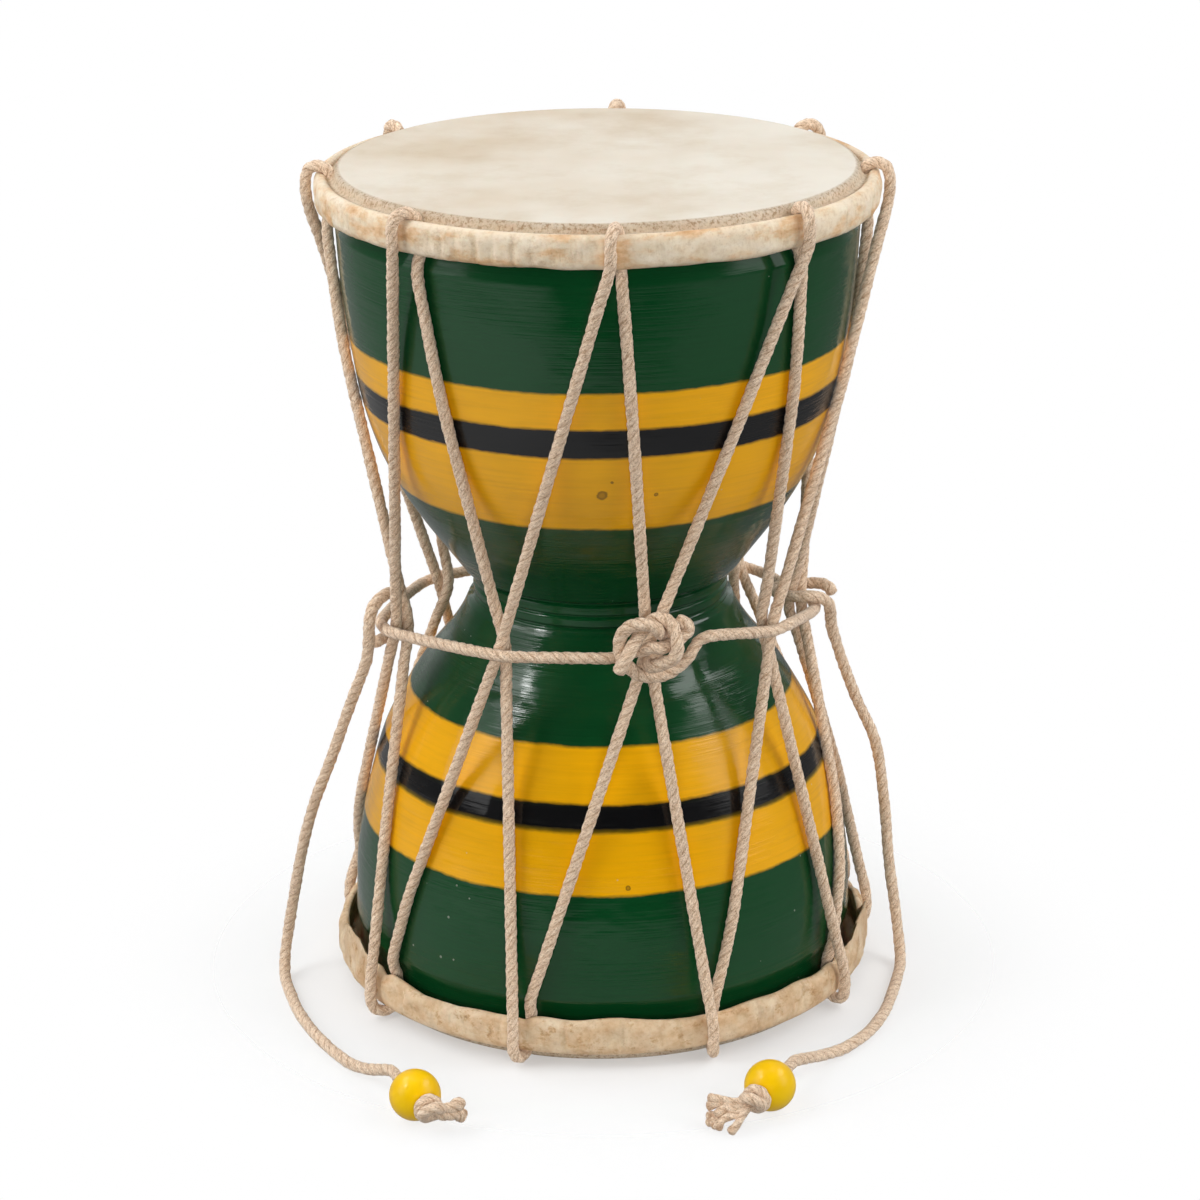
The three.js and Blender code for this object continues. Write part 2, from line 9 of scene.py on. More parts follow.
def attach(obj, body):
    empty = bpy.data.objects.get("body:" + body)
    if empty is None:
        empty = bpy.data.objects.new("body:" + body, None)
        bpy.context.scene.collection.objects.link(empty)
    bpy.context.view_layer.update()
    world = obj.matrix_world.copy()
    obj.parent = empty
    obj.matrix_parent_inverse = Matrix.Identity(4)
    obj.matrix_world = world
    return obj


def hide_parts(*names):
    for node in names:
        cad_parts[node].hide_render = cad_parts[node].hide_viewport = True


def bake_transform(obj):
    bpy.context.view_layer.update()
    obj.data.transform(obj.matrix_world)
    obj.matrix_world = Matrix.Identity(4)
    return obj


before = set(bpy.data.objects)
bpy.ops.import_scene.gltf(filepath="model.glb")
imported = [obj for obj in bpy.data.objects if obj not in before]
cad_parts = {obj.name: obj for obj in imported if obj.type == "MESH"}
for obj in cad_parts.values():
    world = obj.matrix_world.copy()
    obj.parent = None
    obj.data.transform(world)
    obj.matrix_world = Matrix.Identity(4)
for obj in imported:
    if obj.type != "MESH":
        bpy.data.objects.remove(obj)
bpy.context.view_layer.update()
MM = 0.001

# Camera: the photograph's angle, from a fit to the two heads and the profile
PITCH, ROLL = math.radians(19.8116), math.radians(0.4306)
REACH, AIM_HEIGHT = 0.97774, 0.1069
camera_data = bpy.data.cameras.new("camera")
camera_data.sensor_width = 36.0
camera_data.lens = 105.42
camera_data.shift_x = -0.00044
camera_data.clip_start = 0.05
camera_data.clip_end = 30.0
camera = bpy.data.objects.new("camera", camera_data)
bpy.context.scene.collection.objects.link(camera)
camera.matrix_world = (
    Matrix.Translation((0.0, -REACH * math.cos(PITCH), AIM_HEIGHT + REACH * math.sin(PITCH)))
    @ Matrix.Rotation(math.pi / 2 - PITCH, 4, "X")
    @ Matrix.Rotation(-ROLL, 4, "Z")
)
bpy.context.scene.camera = camera
bpy.context.scene.view_settings.view_transform = "Standard"

# Sizes of the CAD part, in millimetres
HEIGHT, HEAD_R, BELLY_R, NECK_R, NECK_Z = 231.0, 70.0, 70.3, 34.6, 114.5
SKIN, CLEAR, ROPE, CANE, ROLL_H = 0.8, 0.3, 3.2, 1.8, 8.3
RIM_GAP = SKIN + CLEAR
RIM_R = HEAD_R - RIM_GAP
CHANNEL = ROPE + 2.6 * CLEAR
CHANNEL_R = RIM_R + CHANNEL / 2
ROLL_R = RIM_R + CHANNEL + CANE + CLEAR + SKIN
ROPE_CLEAR = CLEAR + ROPE / 2
LACE_R = ROLL_R + ROPE_CLEAR
TOP_DROP, BOTTOM_DROP = 2.0, 4.0
RECESS, RECESS_SLOPE, RIM_ROUND, RIM_CUT = 15.2, 2.7, 1.2, 0.35
COLLAR_PROUD, COLLAR_HALF, COLLAR_GROOVES = 0.7, 4.0, 3.4
WALL, BORE_R = 7.0, 28.0
BEAD_R, BEAD_BORE, BORE_EASE, BEAD_SLIDE, TURN_R = 6.8, 4.6, 0.05, 5.0, 2.5
FLOOR_GAP, ROPE_FLOOR = 0.05, 0.04
SELF_CLEAR, LEG_SPREAD, CORD_SPREAD = 0.72, 1.25, 3
TOP, BOTTOM = (dict(face=face, into=into, drop=drop, low=drop + ROLL_H, recess=RECESS + drop - TOP_DROP)
               for face, into, drop in ((HEIGHT, -1, TOP_DROP), (0.0, 1, BOTTOM_DROP)))

# Spans and rounds of work along the ropes, as in the CAD part
RIGHT_KNOT_SPANS, LEFT_KNOT_SPANS, HITCH_SPANS, STRIKER_SPANS = 52, 20, 26, 56
PULL_ROUNDS, EASE_ROUNDS = 400, 240

# Routes of the ropes: azimuths in degrees, shares of the neck's height and the head's radius, and points in
# millimetres, which are (sideways, up, out) from a crossing for the knot and the hitches
TOP_LOOPS = [3.5, 44.5, 88, 128, 176, 230, 272, 319.5]
BOTTOM_LOOPS = [23.5, 60.5, 101, 148, 203, 254, 305.5, 343]
CROSS_AZ = [12.5, 51, 97, 136, 185, 232, 289, 333]
CROSS_HEIGHT_SHARES = [1.009, 0.987, 0.898, 0.874, 0.863, 0.87, 0.934, 0.978]
CROSS_RADIUS_SHARES = [0.795, 0.795, 0.76, 0.795, 0.795, 0.795, 0.795, 0.795]
KNOT_LEFT = [
    (-14.5, -1.6, 0), (-11.9, -2, -0.4), (-8.8, -2.3, -1), (-6.2, -0.7, 1.2), (-3.3, 1.4, 4),
    (-0.3, 2.9, 5.2), (2.3, 3.6, 5), (5.1, 3.5, 3.2), (7.6, 3.2, 1.6), (9.5, 4.8, 1.6), (8.4, 6.8, 1.6),
    (6, 7.3, 1),
]
KNOT_RIGHT = [
    (14.5, 1.8, 0), (12.8, 1.2, 0), (11.2, -0.2, 0.6), (9.9, -2.1, 1.4), (7.2, -4.7, 1.8), (3.4, -6.9, 2),
    (-1, -7.4, 1.8), (-5, -5.8, 1.6), (-7.2, -3.2, 1.8), (-8.9, 0.2, 2.2), (-9.3, 3.9, 2.8), (-8.6, 7.2, 4),
    (-6.1, 8.9, 5), (-2.9, 8.9, 5.8), (0.3, 7.9, 5.9), (2.7, 5.9, 4.6), (3.8, 2.9, 2), (2.8, 0.3, 0.3),
    (0.8, -1.4, 0.1), (-1.1, -2.7, 0.4), (-2.7, -3.7, 1.8), (-2.2, -4, 3.8), (-0.1, -3.5, 5.2),
    (2.5, -1.6, 6), (4.6, 2, 6.6), (4.8, 5.6, 6.4), (3.4, 7.5, 4.4), (0.9, 7.6, 1.8), (-2.1, 6.4, 1.2),
    (-4.8, 4.9, 2.8), (-7.4, 2.3, 5.4), (-9.4, -1, 6.2), (-10.9, -4, 6),
]
HITCH_LEFT = [
    (1.5, -4.5, 4.9), (1.5, -2, 4.6), (1.2, 1.1, 4.4), (0.8, 3.8, 3.9), (-0.5, 6.2, 2.4), (-2.5, 7.6, -0.3),
    (-5.2, 7.6, -3.5), (-7.6, 5.2, -6.4), (-8.4, 1.5, -7.9), (-8.6, -2.4, -7), (-8, -4.9, -4.7),
    (-6.4, -5.7, -1.7), (-4.4, -5.6, 0.6), (-2.6, -5.2, 1.8),
]
HITCH_RIGHT = [
    (-1.2, -10.8, 6.2), (-1.6, -7.6, 5.2), (-2.5, -4.2, 4.5), (-3.7, -1.2, 4.1), (-5.2, 2.2, 2.9),
    (-6.6, 4.4, -0.8), (-6.8, 4.6, -4.8), (-4.8, 4.4, -8.4), (-1.5, 4.3, -10.8), (2.2, 4.2, -10.6),
    (5.2, 4.2, -7.6), (5.9, 4.2, -3.6), (4.6, 4.4, 0.2), (2.6, 4.8, 2.8), (0.2, 4.5, 4.4), (-1.6, 3.1, 5.2),
]
STRIKER_LEFT = [
    (-68.7, -22, 85.5), (-75.1, -21, 67.6), (-79.8, -19.6, 55.2), (-83.4, -18, 42.5), (-87.4, -15, 23),
    (-89.3, -13.4, 12.6), (-90.3, -14.4, 6), (-90.2, -18.6, 1.9), (-89.3, -24, 0), (-87.6, -31, 0),
    (-84.7, -41.6, 0), (-79.9, -53.9, 0), (-74.2, -64.8, 0), (-68.6, -73.2, 0), (-63.6, -79, 2.8),
]
STRIKER_RIGHT = [
    (68.2, 7.4, 85.2), (72.5, 7, 73.7), (77.6, 5, 62.2), (80.3, 2, 45), (81.7, -2, 28), (83.2, -5, 17),
    (84.2, -7, 9), (84.7, -10, 3.9), (84.4, -15.4, 0.6), (83.4, -21, 0), (80.8, -33, 0), (77.4, -45.6, 0),
    (72.1, -57.6, 0), (65.4, -66.6, 0), (59, -73, 2.8),
]
LEFT_BEAD, LEFT_BORE_AZ = (-49.3, -101.7), 26.6
RIGHT_BEAD, RIGHT_BORE_AZ = (43.4, -97.9), -27.6

# Outline of the bowls, from the neck outwards: shares of the way along and of the way from neck to belly
UPPER_SHARES = [
    (0.035, 0.08), (0.1, 0.235), (0.172, 0.407), (0.249, 0.565), (0.339, 0.713), (0.459, 0.837),
    (0.579, 0.906), (0.73, 0.969),
]
LOWER_SHARES = [
    (0.035, 0.045), (0.083, 0.115), (0.132, 0.215), (0.205, 0.404), (0.297, 0.59), (0.389, 0.742),
    (0.541, 0.882), (0.694, 0.975),
]


# Lines and routes
def around(radius, azimuth, height):
    """A point round the drum; the azimuth is 0 at the front and grows to the right."""
    a = math.radians(azimuth)
    return np.array([radius * math.sin(a), -radius * math.cos(a), height], float)


def unit(vectors):
    return vectors / np.linalg.norm(vectors, axis=-1, keepdims=True)


def padded(p, closed):
    """One more point before the first and after the last."""
    return np.vstack([p[-1], p, p[0]] if closed else [2 * p[0] - p[1], p, 2 * p[-1] - p[-2]])


def spline(points, per=24, closed=False):
    """Centripetal Catmull-Rom through the points, finely sampled."""
    p = padded(np.asarray(points, float), closed)
    if closed:
        p = np.vstack([p, points[1]])
    out = []
    for i in range(1, len(p) - 2):
        p0, p1, p2, p3 = p[i - 1], p[i], p[i + 1], p[i + 2]
        d = [max(np.linalg.norm(b - a), 1e-6) ** 0.5 for a, b in ((p0, p1), (p1, p2), (p2, p3))]
        t1 = (p1 - p0) / d[0] - (p2 - p0) / (d[0] + d[1]) + (p2 - p1) / d[1]
        t2 = (p2 - p1) / d[1] - (p3 - p1) / (d[1] + d[2]) + (p3 - p2) / d[2]
        t1, t2 = t1 * d[1], t2 * d[1]
        t = np.linspace(0, 1, per, endpoint=False)[:, None]
        a, b = 2 * (p1 - p2) + t1 + t2, -3 * p1 + 3 * p2 - 2 * t1 - t2
        out.append(a * t**3 + b * t**2 + t1 * t + p1)
    if not closed:
        out.append(p[-2][None])
    return np.vstack(out)


def arc(points):
    """Distance along the line at each of its points."""
    return np.concatenate([[0], np.cumsum(np.linalg.norm(np.diff(points, axis=0), axis=1))])


def along_line(points, distances, lengths):
    """Points at some distances along a line whose own points lie at the lengths."""
    return np.stack([np.interp(distances, lengths, points[:, k]) for k in range(3)], axis=1)


def spaced(points, count):
    """count spans of equal length along the spline through the points."""
    p = spline(points)
    s = arc(p)
    return along_line(p, np.linspace(0, s[-1], count + 1), s)


def bowl(shares, reach, neck=NECK_R, mouth=BELLY_R):
    return [(neck + out * (mouth - neck), NECK_Z + along * reach) for along, out in shares]


LOWER = bowl(LOWER_SHARES + [(1 - BOTTOM["recess"] / NECK_Z, 1)], -NECK_Z)[::-1]
UPPER = bowl(UPPER_SHARES + [(1 - RECESS / (HEIGHT - NECK_Z), 1)], HEIGHT - NECK_Z)
COLLAR = [(NECK_R + COLLAR_PROUD, NECK_Z + half) for half in (-COLLAR_HALF, COLLAR_HALF)]
PROFILE = ([(RIM_R, RIM_GAP), (RIM_R, BOTTOM["recess"] - RECESS_SLOPE)] + LOWER + COLLAR + UPPER
           + [(RIM_R, HEIGHT - RECESS + RECESS_SLOPE), (RIM_R, HEIGHT - RIM_GAP)])


def shell_radius(height):
    r, z = zip(*PROFILE)
    return np.interp(height, z, r)


def crossing(index, layer, spread=0.0):
    i = index % len(CROSS_AZ)
    radius = CROSS_RADIUS_SHARES[i] * HEAD_R + layer * (ROPE + CLEAR)
    return around(radius, CROSS_AZ[i] + spread, CROSS_HEIGHT_SHARES[i] * NECK_Z)


def pulled(start, stop, steps=9):
    """A rope stretch pulled straight, pushed out wherever the drum is in its way."""
    q = start + (stop - start) * np.linspace(0, 1, steps + 1)[:, None]
    for _ in range(PULL_ROUNDS):
        for i in range(1, steps):
            q[i] = (q[i - 1] + q[i + 1]) / 2
            out = math.hypot(q[i][0], q[i][1])
            q[i][:2] *= max(1.0, (shell_radius(q[i][2]) + ROPE_CLEAR) / out)
    return list(q[1:-1])


def lace_loop(azimuth, end):
    """One loop over a roll, from outside it to inside, as rows of radius, depth and share of the spread."""
    over, corner = end["drop"] - ROPE_CLEAR, ROPE
    rows = [(LACE_R, end["low"] - 2 * SKIN, -1), (LACE_R, over + corner, -1),
            (LACE_R - corner / 3, over + corner / 4, -0.7), (LACE_R - corner, over, -0.2),
            (CHANNEL_R + corner / 3, over + corner / 4, 0.2), (CHANNEL_R, over + corner, 0.7),
            (CHANNEL_R, end["low"], 0.9), (BELLY_R + ROPE_CLEAR, end["recess"] + CLEAR, 1)]
    return [around(r, azimuth + s * LEG_SPREAD, end["face"] + end["into"] * d) for r, d, s in rows]


def lacing(first):
    """One closed circuit, which takes every other loop of both heads."""
    points = []
    for k in range(first, first + 8, 2):
        over, under = lace_loop(TOP_LOOPS[k], TOP), lace_loop(BOTTOM_LOOPS[k], BOTTOM)
        landing = lace_loop(TOP_LOOPS[(k + 2) % 8], TOP)[0]
        inner, outer = crossing(k, 0), crossing(k + 1, 1)
        points += over + pulled(over[-1], inner) + [inner] + pulled(inner, under[0])
        points += under + pulled(under[-1], outer) + [outer] + pulled(outer, landing)
    return np.array(points)


def beside(index, place):
    """A point (sideways, up, out) from the waist cord's place at a crossing."""
    middle = crossing(index, 2)
    sideways, up, out = place
    p = middle + around(sideways, CROSS_AZ[index] + 90, 0) + around(out, CROSS_AZ[index], 0)
    p[2] = middle[2] + up
    return p


def eased(points, held, pitch):
    """Strands nearer than the pitch move apart and every span keeps its length."""
    p = [np.array(q) for q in points]
    n = len(p)
    spans = [np.linalg.norm(p[i + 1] - p[i]) for i in range(n - 1)]
    near = math.ceil(2 * pitch / min(spans))
    pairs = [(i, j) for i in range(n) for j in range(i + near, n) if np.linalg.norm(p[j] - p[i]) < 3 * pitch]
    moves = [held <= i < n - held for i in range(n)]
    for _ in range(EASE_ROUNDS):
        for i, j in pairs:
            push = p[j] - p[i]
            gap = math.sqrt(push @ push)
            if gap < pitch:
                push *= (pitch - gap) / gap / 2
                if moves[j]:
                    p[j] += push
                if moves[i]:
                    p[i] -= push
        for i, span in enumerate(spans):
            push = p[i + 1] - p[i]
            push *= (span / math.sqrt(push @ push) - 1) / 2
            if moves[i + 1]:
                p[i + 1] += push
            if moves[i]:
                p[i] -= push
    return np.array(p)


def waist_route():
    """From the knot's right end backwards round the drum to its left end."""
    right = spaced([beside(0, q) for q in KNOT_RIGHT], RIGHT_KNOT_SPANS)[::-1]
    left = spaced([beside(0, q) for q in KNOT_LEFT], LEFT_KNOT_SPANS)
    ring = [crossing(i, 2, side * CORD_SPREAD) for i in range(1, 8) for side in (-1, 0, 1)]
    return eased(np.vstack([right, ring, left]), 1, ROPE + SELF_CLEAR)


def hitch_route(index, route):
    return eased(spaced([beside(index, q) for q in route], HITCH_SPANS), 2, ROPE + SELF_CLEAR)


def striker_route(place, azimuth, route, hitch):
    """A striker cord from its hitch to its end knot, with the places of its bead and knot."""
    axis = around(1, azimuth, 0)
    bead = np.array([place[0], place[1], BEAD_R + FLOOR_GAP])
    turn_along = math.sqrt((BEAD_R + ROPE_CLEAR) ** 2 - TURN_R**2)
    out = unit(hitch[0] - hitch[1])
    start = hitch[0] + out * CLEAR
    entry = -BEAD_R - BEAD_SLIDE
    lowest = ROPE / 2 + FLOOR_GAP
    rows = [start, start + out * ROPE, *[np.array(q, float) for q in route],
            bead + axis * (entry - ROPE), bead + axis * entry]
    for q in rows:
        q[2] = max(q[2], lowest)
    cord = spaced(rows, STRIKER_SPANS)
    cord[:, 2] = np.maximum(cord[:, 2], lowest)
    end = turn_along + ROPE / 4 - TURN_R - CLEAR
    return dict(axis=axis, bead=bead, against=bead + axis * turn_along,
                knot=bead + axis * (turn_along + ROPE / 4), cord=np.vstack([cord, bead, bead + axis * end]))


# Meshes
def add_values(obj, **rows):
    """Stores a value or a vector per point under each name, for the shaders."""
    for name, values in rows.items():
        kind, key = ("FLOAT_VECTOR", "vector") if values.ndim > 1 else ("FLOAT", "value")
        data = obj.data.attributes.new(name, kind, "POINT").data
        data.foreach_set(key, values.astype(np.float32).ravel())


def mesh_object(name, verts, faces, material):
    """A smooth mesh from points in millimetres."""
    mesh = bpy.data.meshes.new(name)
    mesh.from_pydata((np.asarray(verts) * MM).tolist(), [], faces)
    mesh.polygons.foreach_set("use_smooth", [True] * len(mesh.polygons))
    mesh.materials.append(material)
    mesh.update()
    obj = bpy.data.objects.new(name, mesh)
    bpy.context.scene.collection.objects.link(obj)
    return obj


def grid_faces(rows, cols, wrap_rows=False):
    """Quads of a grid that wraps along its columns."""
    r = np.arange(rows if wrap_rows else rows - 1)[:, None]
    c = np.arange(cols)[None, :]
    a, b = r * cols + c, r * cols + (c + 1) % cols
    up = ((r + 1) % rows) * cols
    return np.stack([a, b, up + (c + 1) % cols, up + c], axis=-1).reshape(-1, 4).tolist()


def waves(values, seed, octaves=4, base=1.0):
    """Smooth repeatable noise of a 1-D value, about -1 to 1."""
    local = np.random.default_rng(seed)
    total = np.zeros_like(values, float)
    for k in range(octaves):
        frequency, phase = base * 2**k * local.uniform(0.8, 1.25), local.uniform(0, 6.28)
        total += 0.62**k * np.sin(values * frequency + phase)
    return total / 1.6


def turning_free(points, closed):
    """Two normals at every point of a line, which don't twist round it."""
    p = padded(points, closed)
    t = unit(p[2:] - p[:-2])
    n = np.zeros_like(t)
    v = np.cross(t[0], [0.3, 0.2, 0.9])
    for i, d in enumerate(t):
        v = v - d * (v @ d)
        v /= math.sqrt(v @ v)
        n[i] = v
    b = np.cross(t, n)
    if closed:
        w = n[-1] - t[0] * (n[-1] @ t[0])
        slip = math.atan2(w @ b[0], w @ n[0])
        turn = (-slip * np.arange(len(t)) / len(t))[:, None]
        n, b = n * np.cos(turn) + b * np.sin(turn), b * np.cos(turn) - n * np.sin(turn)
    return n, b


def laid_rope(route, radius=ROPE / 2, sides=18, step=0.5, pitch=9.5, lobes=3, depth=0.12, closed=False,
              seed=1, fuller=None, free=(True, True)):
    """Vertices, faces, lay and groove of a rope of twisted strands along a route.

    fuller(distances, whole length) swells it, and a free end is rounded.
    """
    p = spline(route, closed=closed)
    if closed:
        p = np.vstack([p, p[:1]])
    s = arc(p)
    whole = s[-1]
    t = np.linspace(0, whole, max(6, round(whole / step)) + 1)
    c = along_line(p, t, s)
    if closed:
        c, t = c[:-1], t[:-1]
        pitch = whole / max(1, round(whole / pitch * lobes)) * lobes
    n, b = turning_free(c, closed)
    t_column = t[:, None]
    theta = np.arange(sides)[None, :] * 2 * math.pi / sides
    twist = 2 * math.pi * t_column / pitch
    lobe = np.abs(np.cos(lobes / 2 * (theta - twist)))
    unevenness = 0.035 * waves(t, seed, 5, 0.35)[:, None] + 0.02 * np.sin(3.1 * t_column + 2 * theta + seed)
    shape = (1 - depth + depth * lobe**0.75) * (1 + unevenness)
    if fuller is not None:
        shape = shape * fuller(t, whole)[:, None]
    if not closed:
        from_ends = np.minimum(np.where(free[0], t, np.inf), np.where(free[1], whole - t, np.inf))
        tip = np.clip(from_ends / (0.6 * radius), 0, 1)
        shape = shape * (0.45 + 0.55 * np.sqrt(1 - (1 - tip) ** 2))[:, None]
    r = radius * shape * (1 + 0.022 * np.random.default_rng(seed).normal(size=shape.shape).clip(-2, 2))
    across = np.cos(theta)[..., None] * n[:, None, :] + np.sin(theta)[..., None] * b[:, None, :]
    verts = (c[:, None, :] + r[..., None] * across).reshape(-1, 3)
    turn = theta - 0.55 * twist
    distance = np.broadcast_to(t_column, turn.shape)
    lay = np.stack([radius * np.cos(turn), radius * np.sin(turn), distance], axis=-1).reshape(-1, 3)
    groove = lobe.reshape(-1)
    faces = grid_faces(len(c), sides, wrap_rows=closed)
    if not closed:
        k, last = len(verts), (len(c) - 1) * sides
        verts = np.vstack([verts, c[0] - (c[1] - c[0]) * 0.3, c[-1] + (c[-1] - c[-2]) * 0.3])
        lay = np.vstack([lay, [0, 0, t[0]], [0, 0, t[-1]]])
        groove = np.concatenate([groove, [0.5, 0.5]])
        faces += [[k, (i + 1) % sides, i] for i in range(sides)]
        faces += [[k + 1, last + i, last + (i + 1) % sides] for i in range(sides)]
    return verts, faces, lay, groove


def rope_object(name, parts):
    """Joins laid ropes into one piece, which stays above the floor."""
    verts, faces, lay, groove = zip(*parts)
    joined, at = [], 0
    for part_verts, part_faces in zip(verts, faces):
        joined += [[i + at for i in face] for face in part_faces]
        at += len(part_verts)
    v = np.vstack(verts)
    v[:, 2] = np.maximum(v[:, 2], ROPE_FLOOR)
    obj = mesh_object(name, v, joined, rope_material)
    add_values(obj, lay=np.vstack(lay), groove=np.concatenate(groove))
    return obj


def fuzz(name, routes, seed, radius=1.5, per_mm=4, longest=1.3, width=0.04):
    """Loose fibres that stand off a rope: bent ribbons, two spans each."""
    local = np.random.default_rng(seed)
    verts, faces = [], []
    for route in routes:
        p = spline(route)
        s = arc(p)
        count = int(s[-1] * per_mm)
        at = local.uniform(0, s[-1], count)
        c = along_line(p, at, s)
        d = along_line(p, at + 0.2, s) - along_line(p, at - 0.2, s)
        d /= np.maximum(np.linalg.norm(d, axis=1), 1e-9)[:, None]
        side = unit(np.cross(d, local.normal(size=(count, 3))))
        length = longest * local.beta(1.6, 4.0, count)[:, None] + 0.15
        away = unit(side + local.normal(0, 0.9, (count, 1)) * d)
        root = c + side * radius * 0.82
        middle = root + away * length * 0.5
        tip = middle + (away + 0.45 * local.normal(size=(count, 3))) * length * 0.5
        a = np.cross(away, d) * width / 2
        k = len(verts) * 5
        verts += list(np.stack([root - a, root + a, middle + a * 0.8, middle - a * 0.8, tip], axis=1))
        faces += [[k + 5 * i + j for j in q] for i in range(count) for q in ((0, 1, 2, 3), (3, 2, 4))]
    v = np.array(verts).reshape(-1, 3)
    v[:, 2] = np.maximum(v[:, 2], FLOOR_GAP)
    return mesh_object(name, v, faces, fuzz_material)


# Materials
def srgb(r, g, b):
    def linear(c):
        c /= 255
        return c / 12.92 if c <= 0.04045 else ((c + 0.055) / 1.055) ** 2.4
    return (linear(r), linear(g), linear(b), 1.0)


def rgba(colour):
    """A full colour from a grey value, or from its three or four parts."""
    parts = colour if isinstance(colour, tuple) else (colour,) * 3
    return (*parts, 1.0)[:4]


class Shader:
    """A material's or world's node tree with short calls; sockets are named with underscores."""

    def __init__(self, owner):
        owner.use_nodes = True
        self.owner, self.nodes, self.links = owner, owner.node_tree.nodes, owner.node_tree.links

    def feed(self, socket, value):
        """Links an output to the socket, or sets the socket's constant."""
        if hasattr(value, "links"):
            self.links.new(value, socket)
        else:
            socket.default_value = value

    def put(self, node, **values):
        for name, value in values.items():
            self.feed(node.inputs[name.replace("_", " ")], value)
        return node

    def add(self, kind, **settings):
        made = self.nodes.new("ShaderNode" + kind)
        for name, value in settings.items():
            setattr(made, name, value)
        return made

    def place(self):
        return self.add("TexCoord").outputs["Object"]

    def axes(self, vector):
        return self.put(self.add("SeparateXYZ"), Vector=vector).outputs

    def attribute(self, name, output="Fac"):
        return self.add("Attribute", attribute_name=name).outputs[output]

    def noise(self, vector, scale, detail=3.0, roughness=0.55):
        made = self.put(self.add("TexNoise"), Vector=vector, Scale=scale, Detail=detail, Roughness=roughness)
        return made.outputs["Fac"]

    def cells(self, vector, scale):
        return self.put(self.add("TexVoronoi"), Vector=vector, Scale=scale).outputs["Distance"]

    def stretched(self, vector, scale):
        return self.put(self.add("Mapping"), Vector=vector, Scale=scale).outputs["Vector"]

    def ramp(self, value, stops, interpolation="LINEAR"):
        """A ramp through stops of (position, colour or grey value)."""
        made = self.put(self.add("ValToRGB"), Fac=value)
        made.color_ramp.interpolation = interpolation
        elements = made.color_ramp.elements
        while len(elements) > 1:
            elements.remove(elements[-1])
        elements[0].position, elements[0].color = stops[0][0], rgba(stops[0][1])
        for position, colour in stops[1:]:
            elements.new(position).color = rgba(colour)
        return made.outputs["Color"]

    def mixed(self, share, a, b, blend="MIX"):
        made = self.add("Mix", data_type="RGBA", blend_type=blend)
        for number, value in ((0, share), (6, a), (7, b)):
            self.feed(made.inputs[number], value)
        return made.outputs[2]

    def tinted(self, colour, tint, share=1.0):
        return self.mixed(share, colour, tint, "MULTIPLY")

    def calc(self, operation, a, b=0.0, c=0.0, clamp=False):
        made = self.add("Math", operation=operation, use_clamp=clamp)
        for socket, value in zip(made.inputs, (a, b, c)):
            self.feed(socket, value)
        return made.outputs[0]

    def times(self, a, b, clamp=False):
        return self.calc("MULTIPLY", a, b, clamp=clamp)

    def swayed(self, value, noise, amount):
        """The value moved up and down by a noise."""
        return self.calc("ADD", value, self.times(self.calc("SUBTRACT", noise, 0.5), amount))

    def bump(self, height, strength, distance, **after):
        """A relief, on top of another where Normal is given."""
        made = self.put(self.add("Bump"), Height=height, Strength=strength, Distance=distance, **after)
        return made.outputs["Normal"]

    def mixed_shaders(self, share, a, b):
        made = self.add("MixShader")
        for socket, value in zip(made.inputs, (share, a, b)):
            self.feed(socket, value)
        return made.outputs[0]

    def surface(self, colour, **values):
        """Gives the material its colour and the rest of its shader's sockets, and returns it."""
        self.put(self.nodes["Principled BSDF"], Base_Color=colour, **values)
        return self.owner


def shader(name):
    return Shader(bpy.data.materials.new(name))


GREEN, YELLOW, BLACK, SEAM = srgb(5, 66, 30), srgb(244, 176, 2), srgb(14, 14, 16), srgb(50, 60, 10)
# Height at which each colour starts, in millimetres, and how its seam with the colour below is drawn
BANDS = [
    (47.3, YELLOW), (64.2, BLACK), (70.7, YELLOW), (84.3, GREEN), (146.5, YELLOW), (168.2, BLACK),
    (176.3, YELLOW), (186.3, GREEN),
]
SEAM_GAPS = (-0.35, -0.1, 0.2, 0.4)
COARSE_SWAY, FINE_SWAY = 1.2 * MM, 0.6 * MM
# Place and size of each chip, in millimetres: four that the photograph shows and two at the back
CHIPS = [
    ((3.17, -62.34, 161.48), 0.45), ((0.58, -61.18, 157.61), 1.3), ((14.49, -59.29, 157.16), 0.6),
    ((6.73, -66.35, 49.31), 0.7), ((-41.0, 48.0, 158.0), 1.2), ((50.0, 36.0, 75.0), 1.0),
]


def band_colour(s, share):
    """The painted bands, by share of the drum's height, in two ramps, because a ramp holds 32 stops."""
    stops, below = [(0.0, GREEN)], GREEN
    for height, above in BANDS:
        tones = (below, SEAM, SEAM, above)
        stops += [((height + gap) / HEIGHT, tone) for gap, tone in zip(SEAM_GAPS, tones)]
        below = above
    low = s.ramp(share, [q for q in stops if q[0] < 0.5])
    high = s.ramp(share, [(0.5, GREEN)] + [q for q in stops if q[0] >= 0.5])
    return s.mixed(s.calc("GREATER_THAN", share, 0.5), low, high)


def spots(s, place, scale, thin, above, growth, strength):
    """Small round marks, which lie where a noise is above a value and grow with it."""
    room = s.times(s.calc("SUBTRACT", thin, above, clamp=True), growth)
    return s.times(s.calc("LESS_THAN", s.cells(place, scale), room), strength)


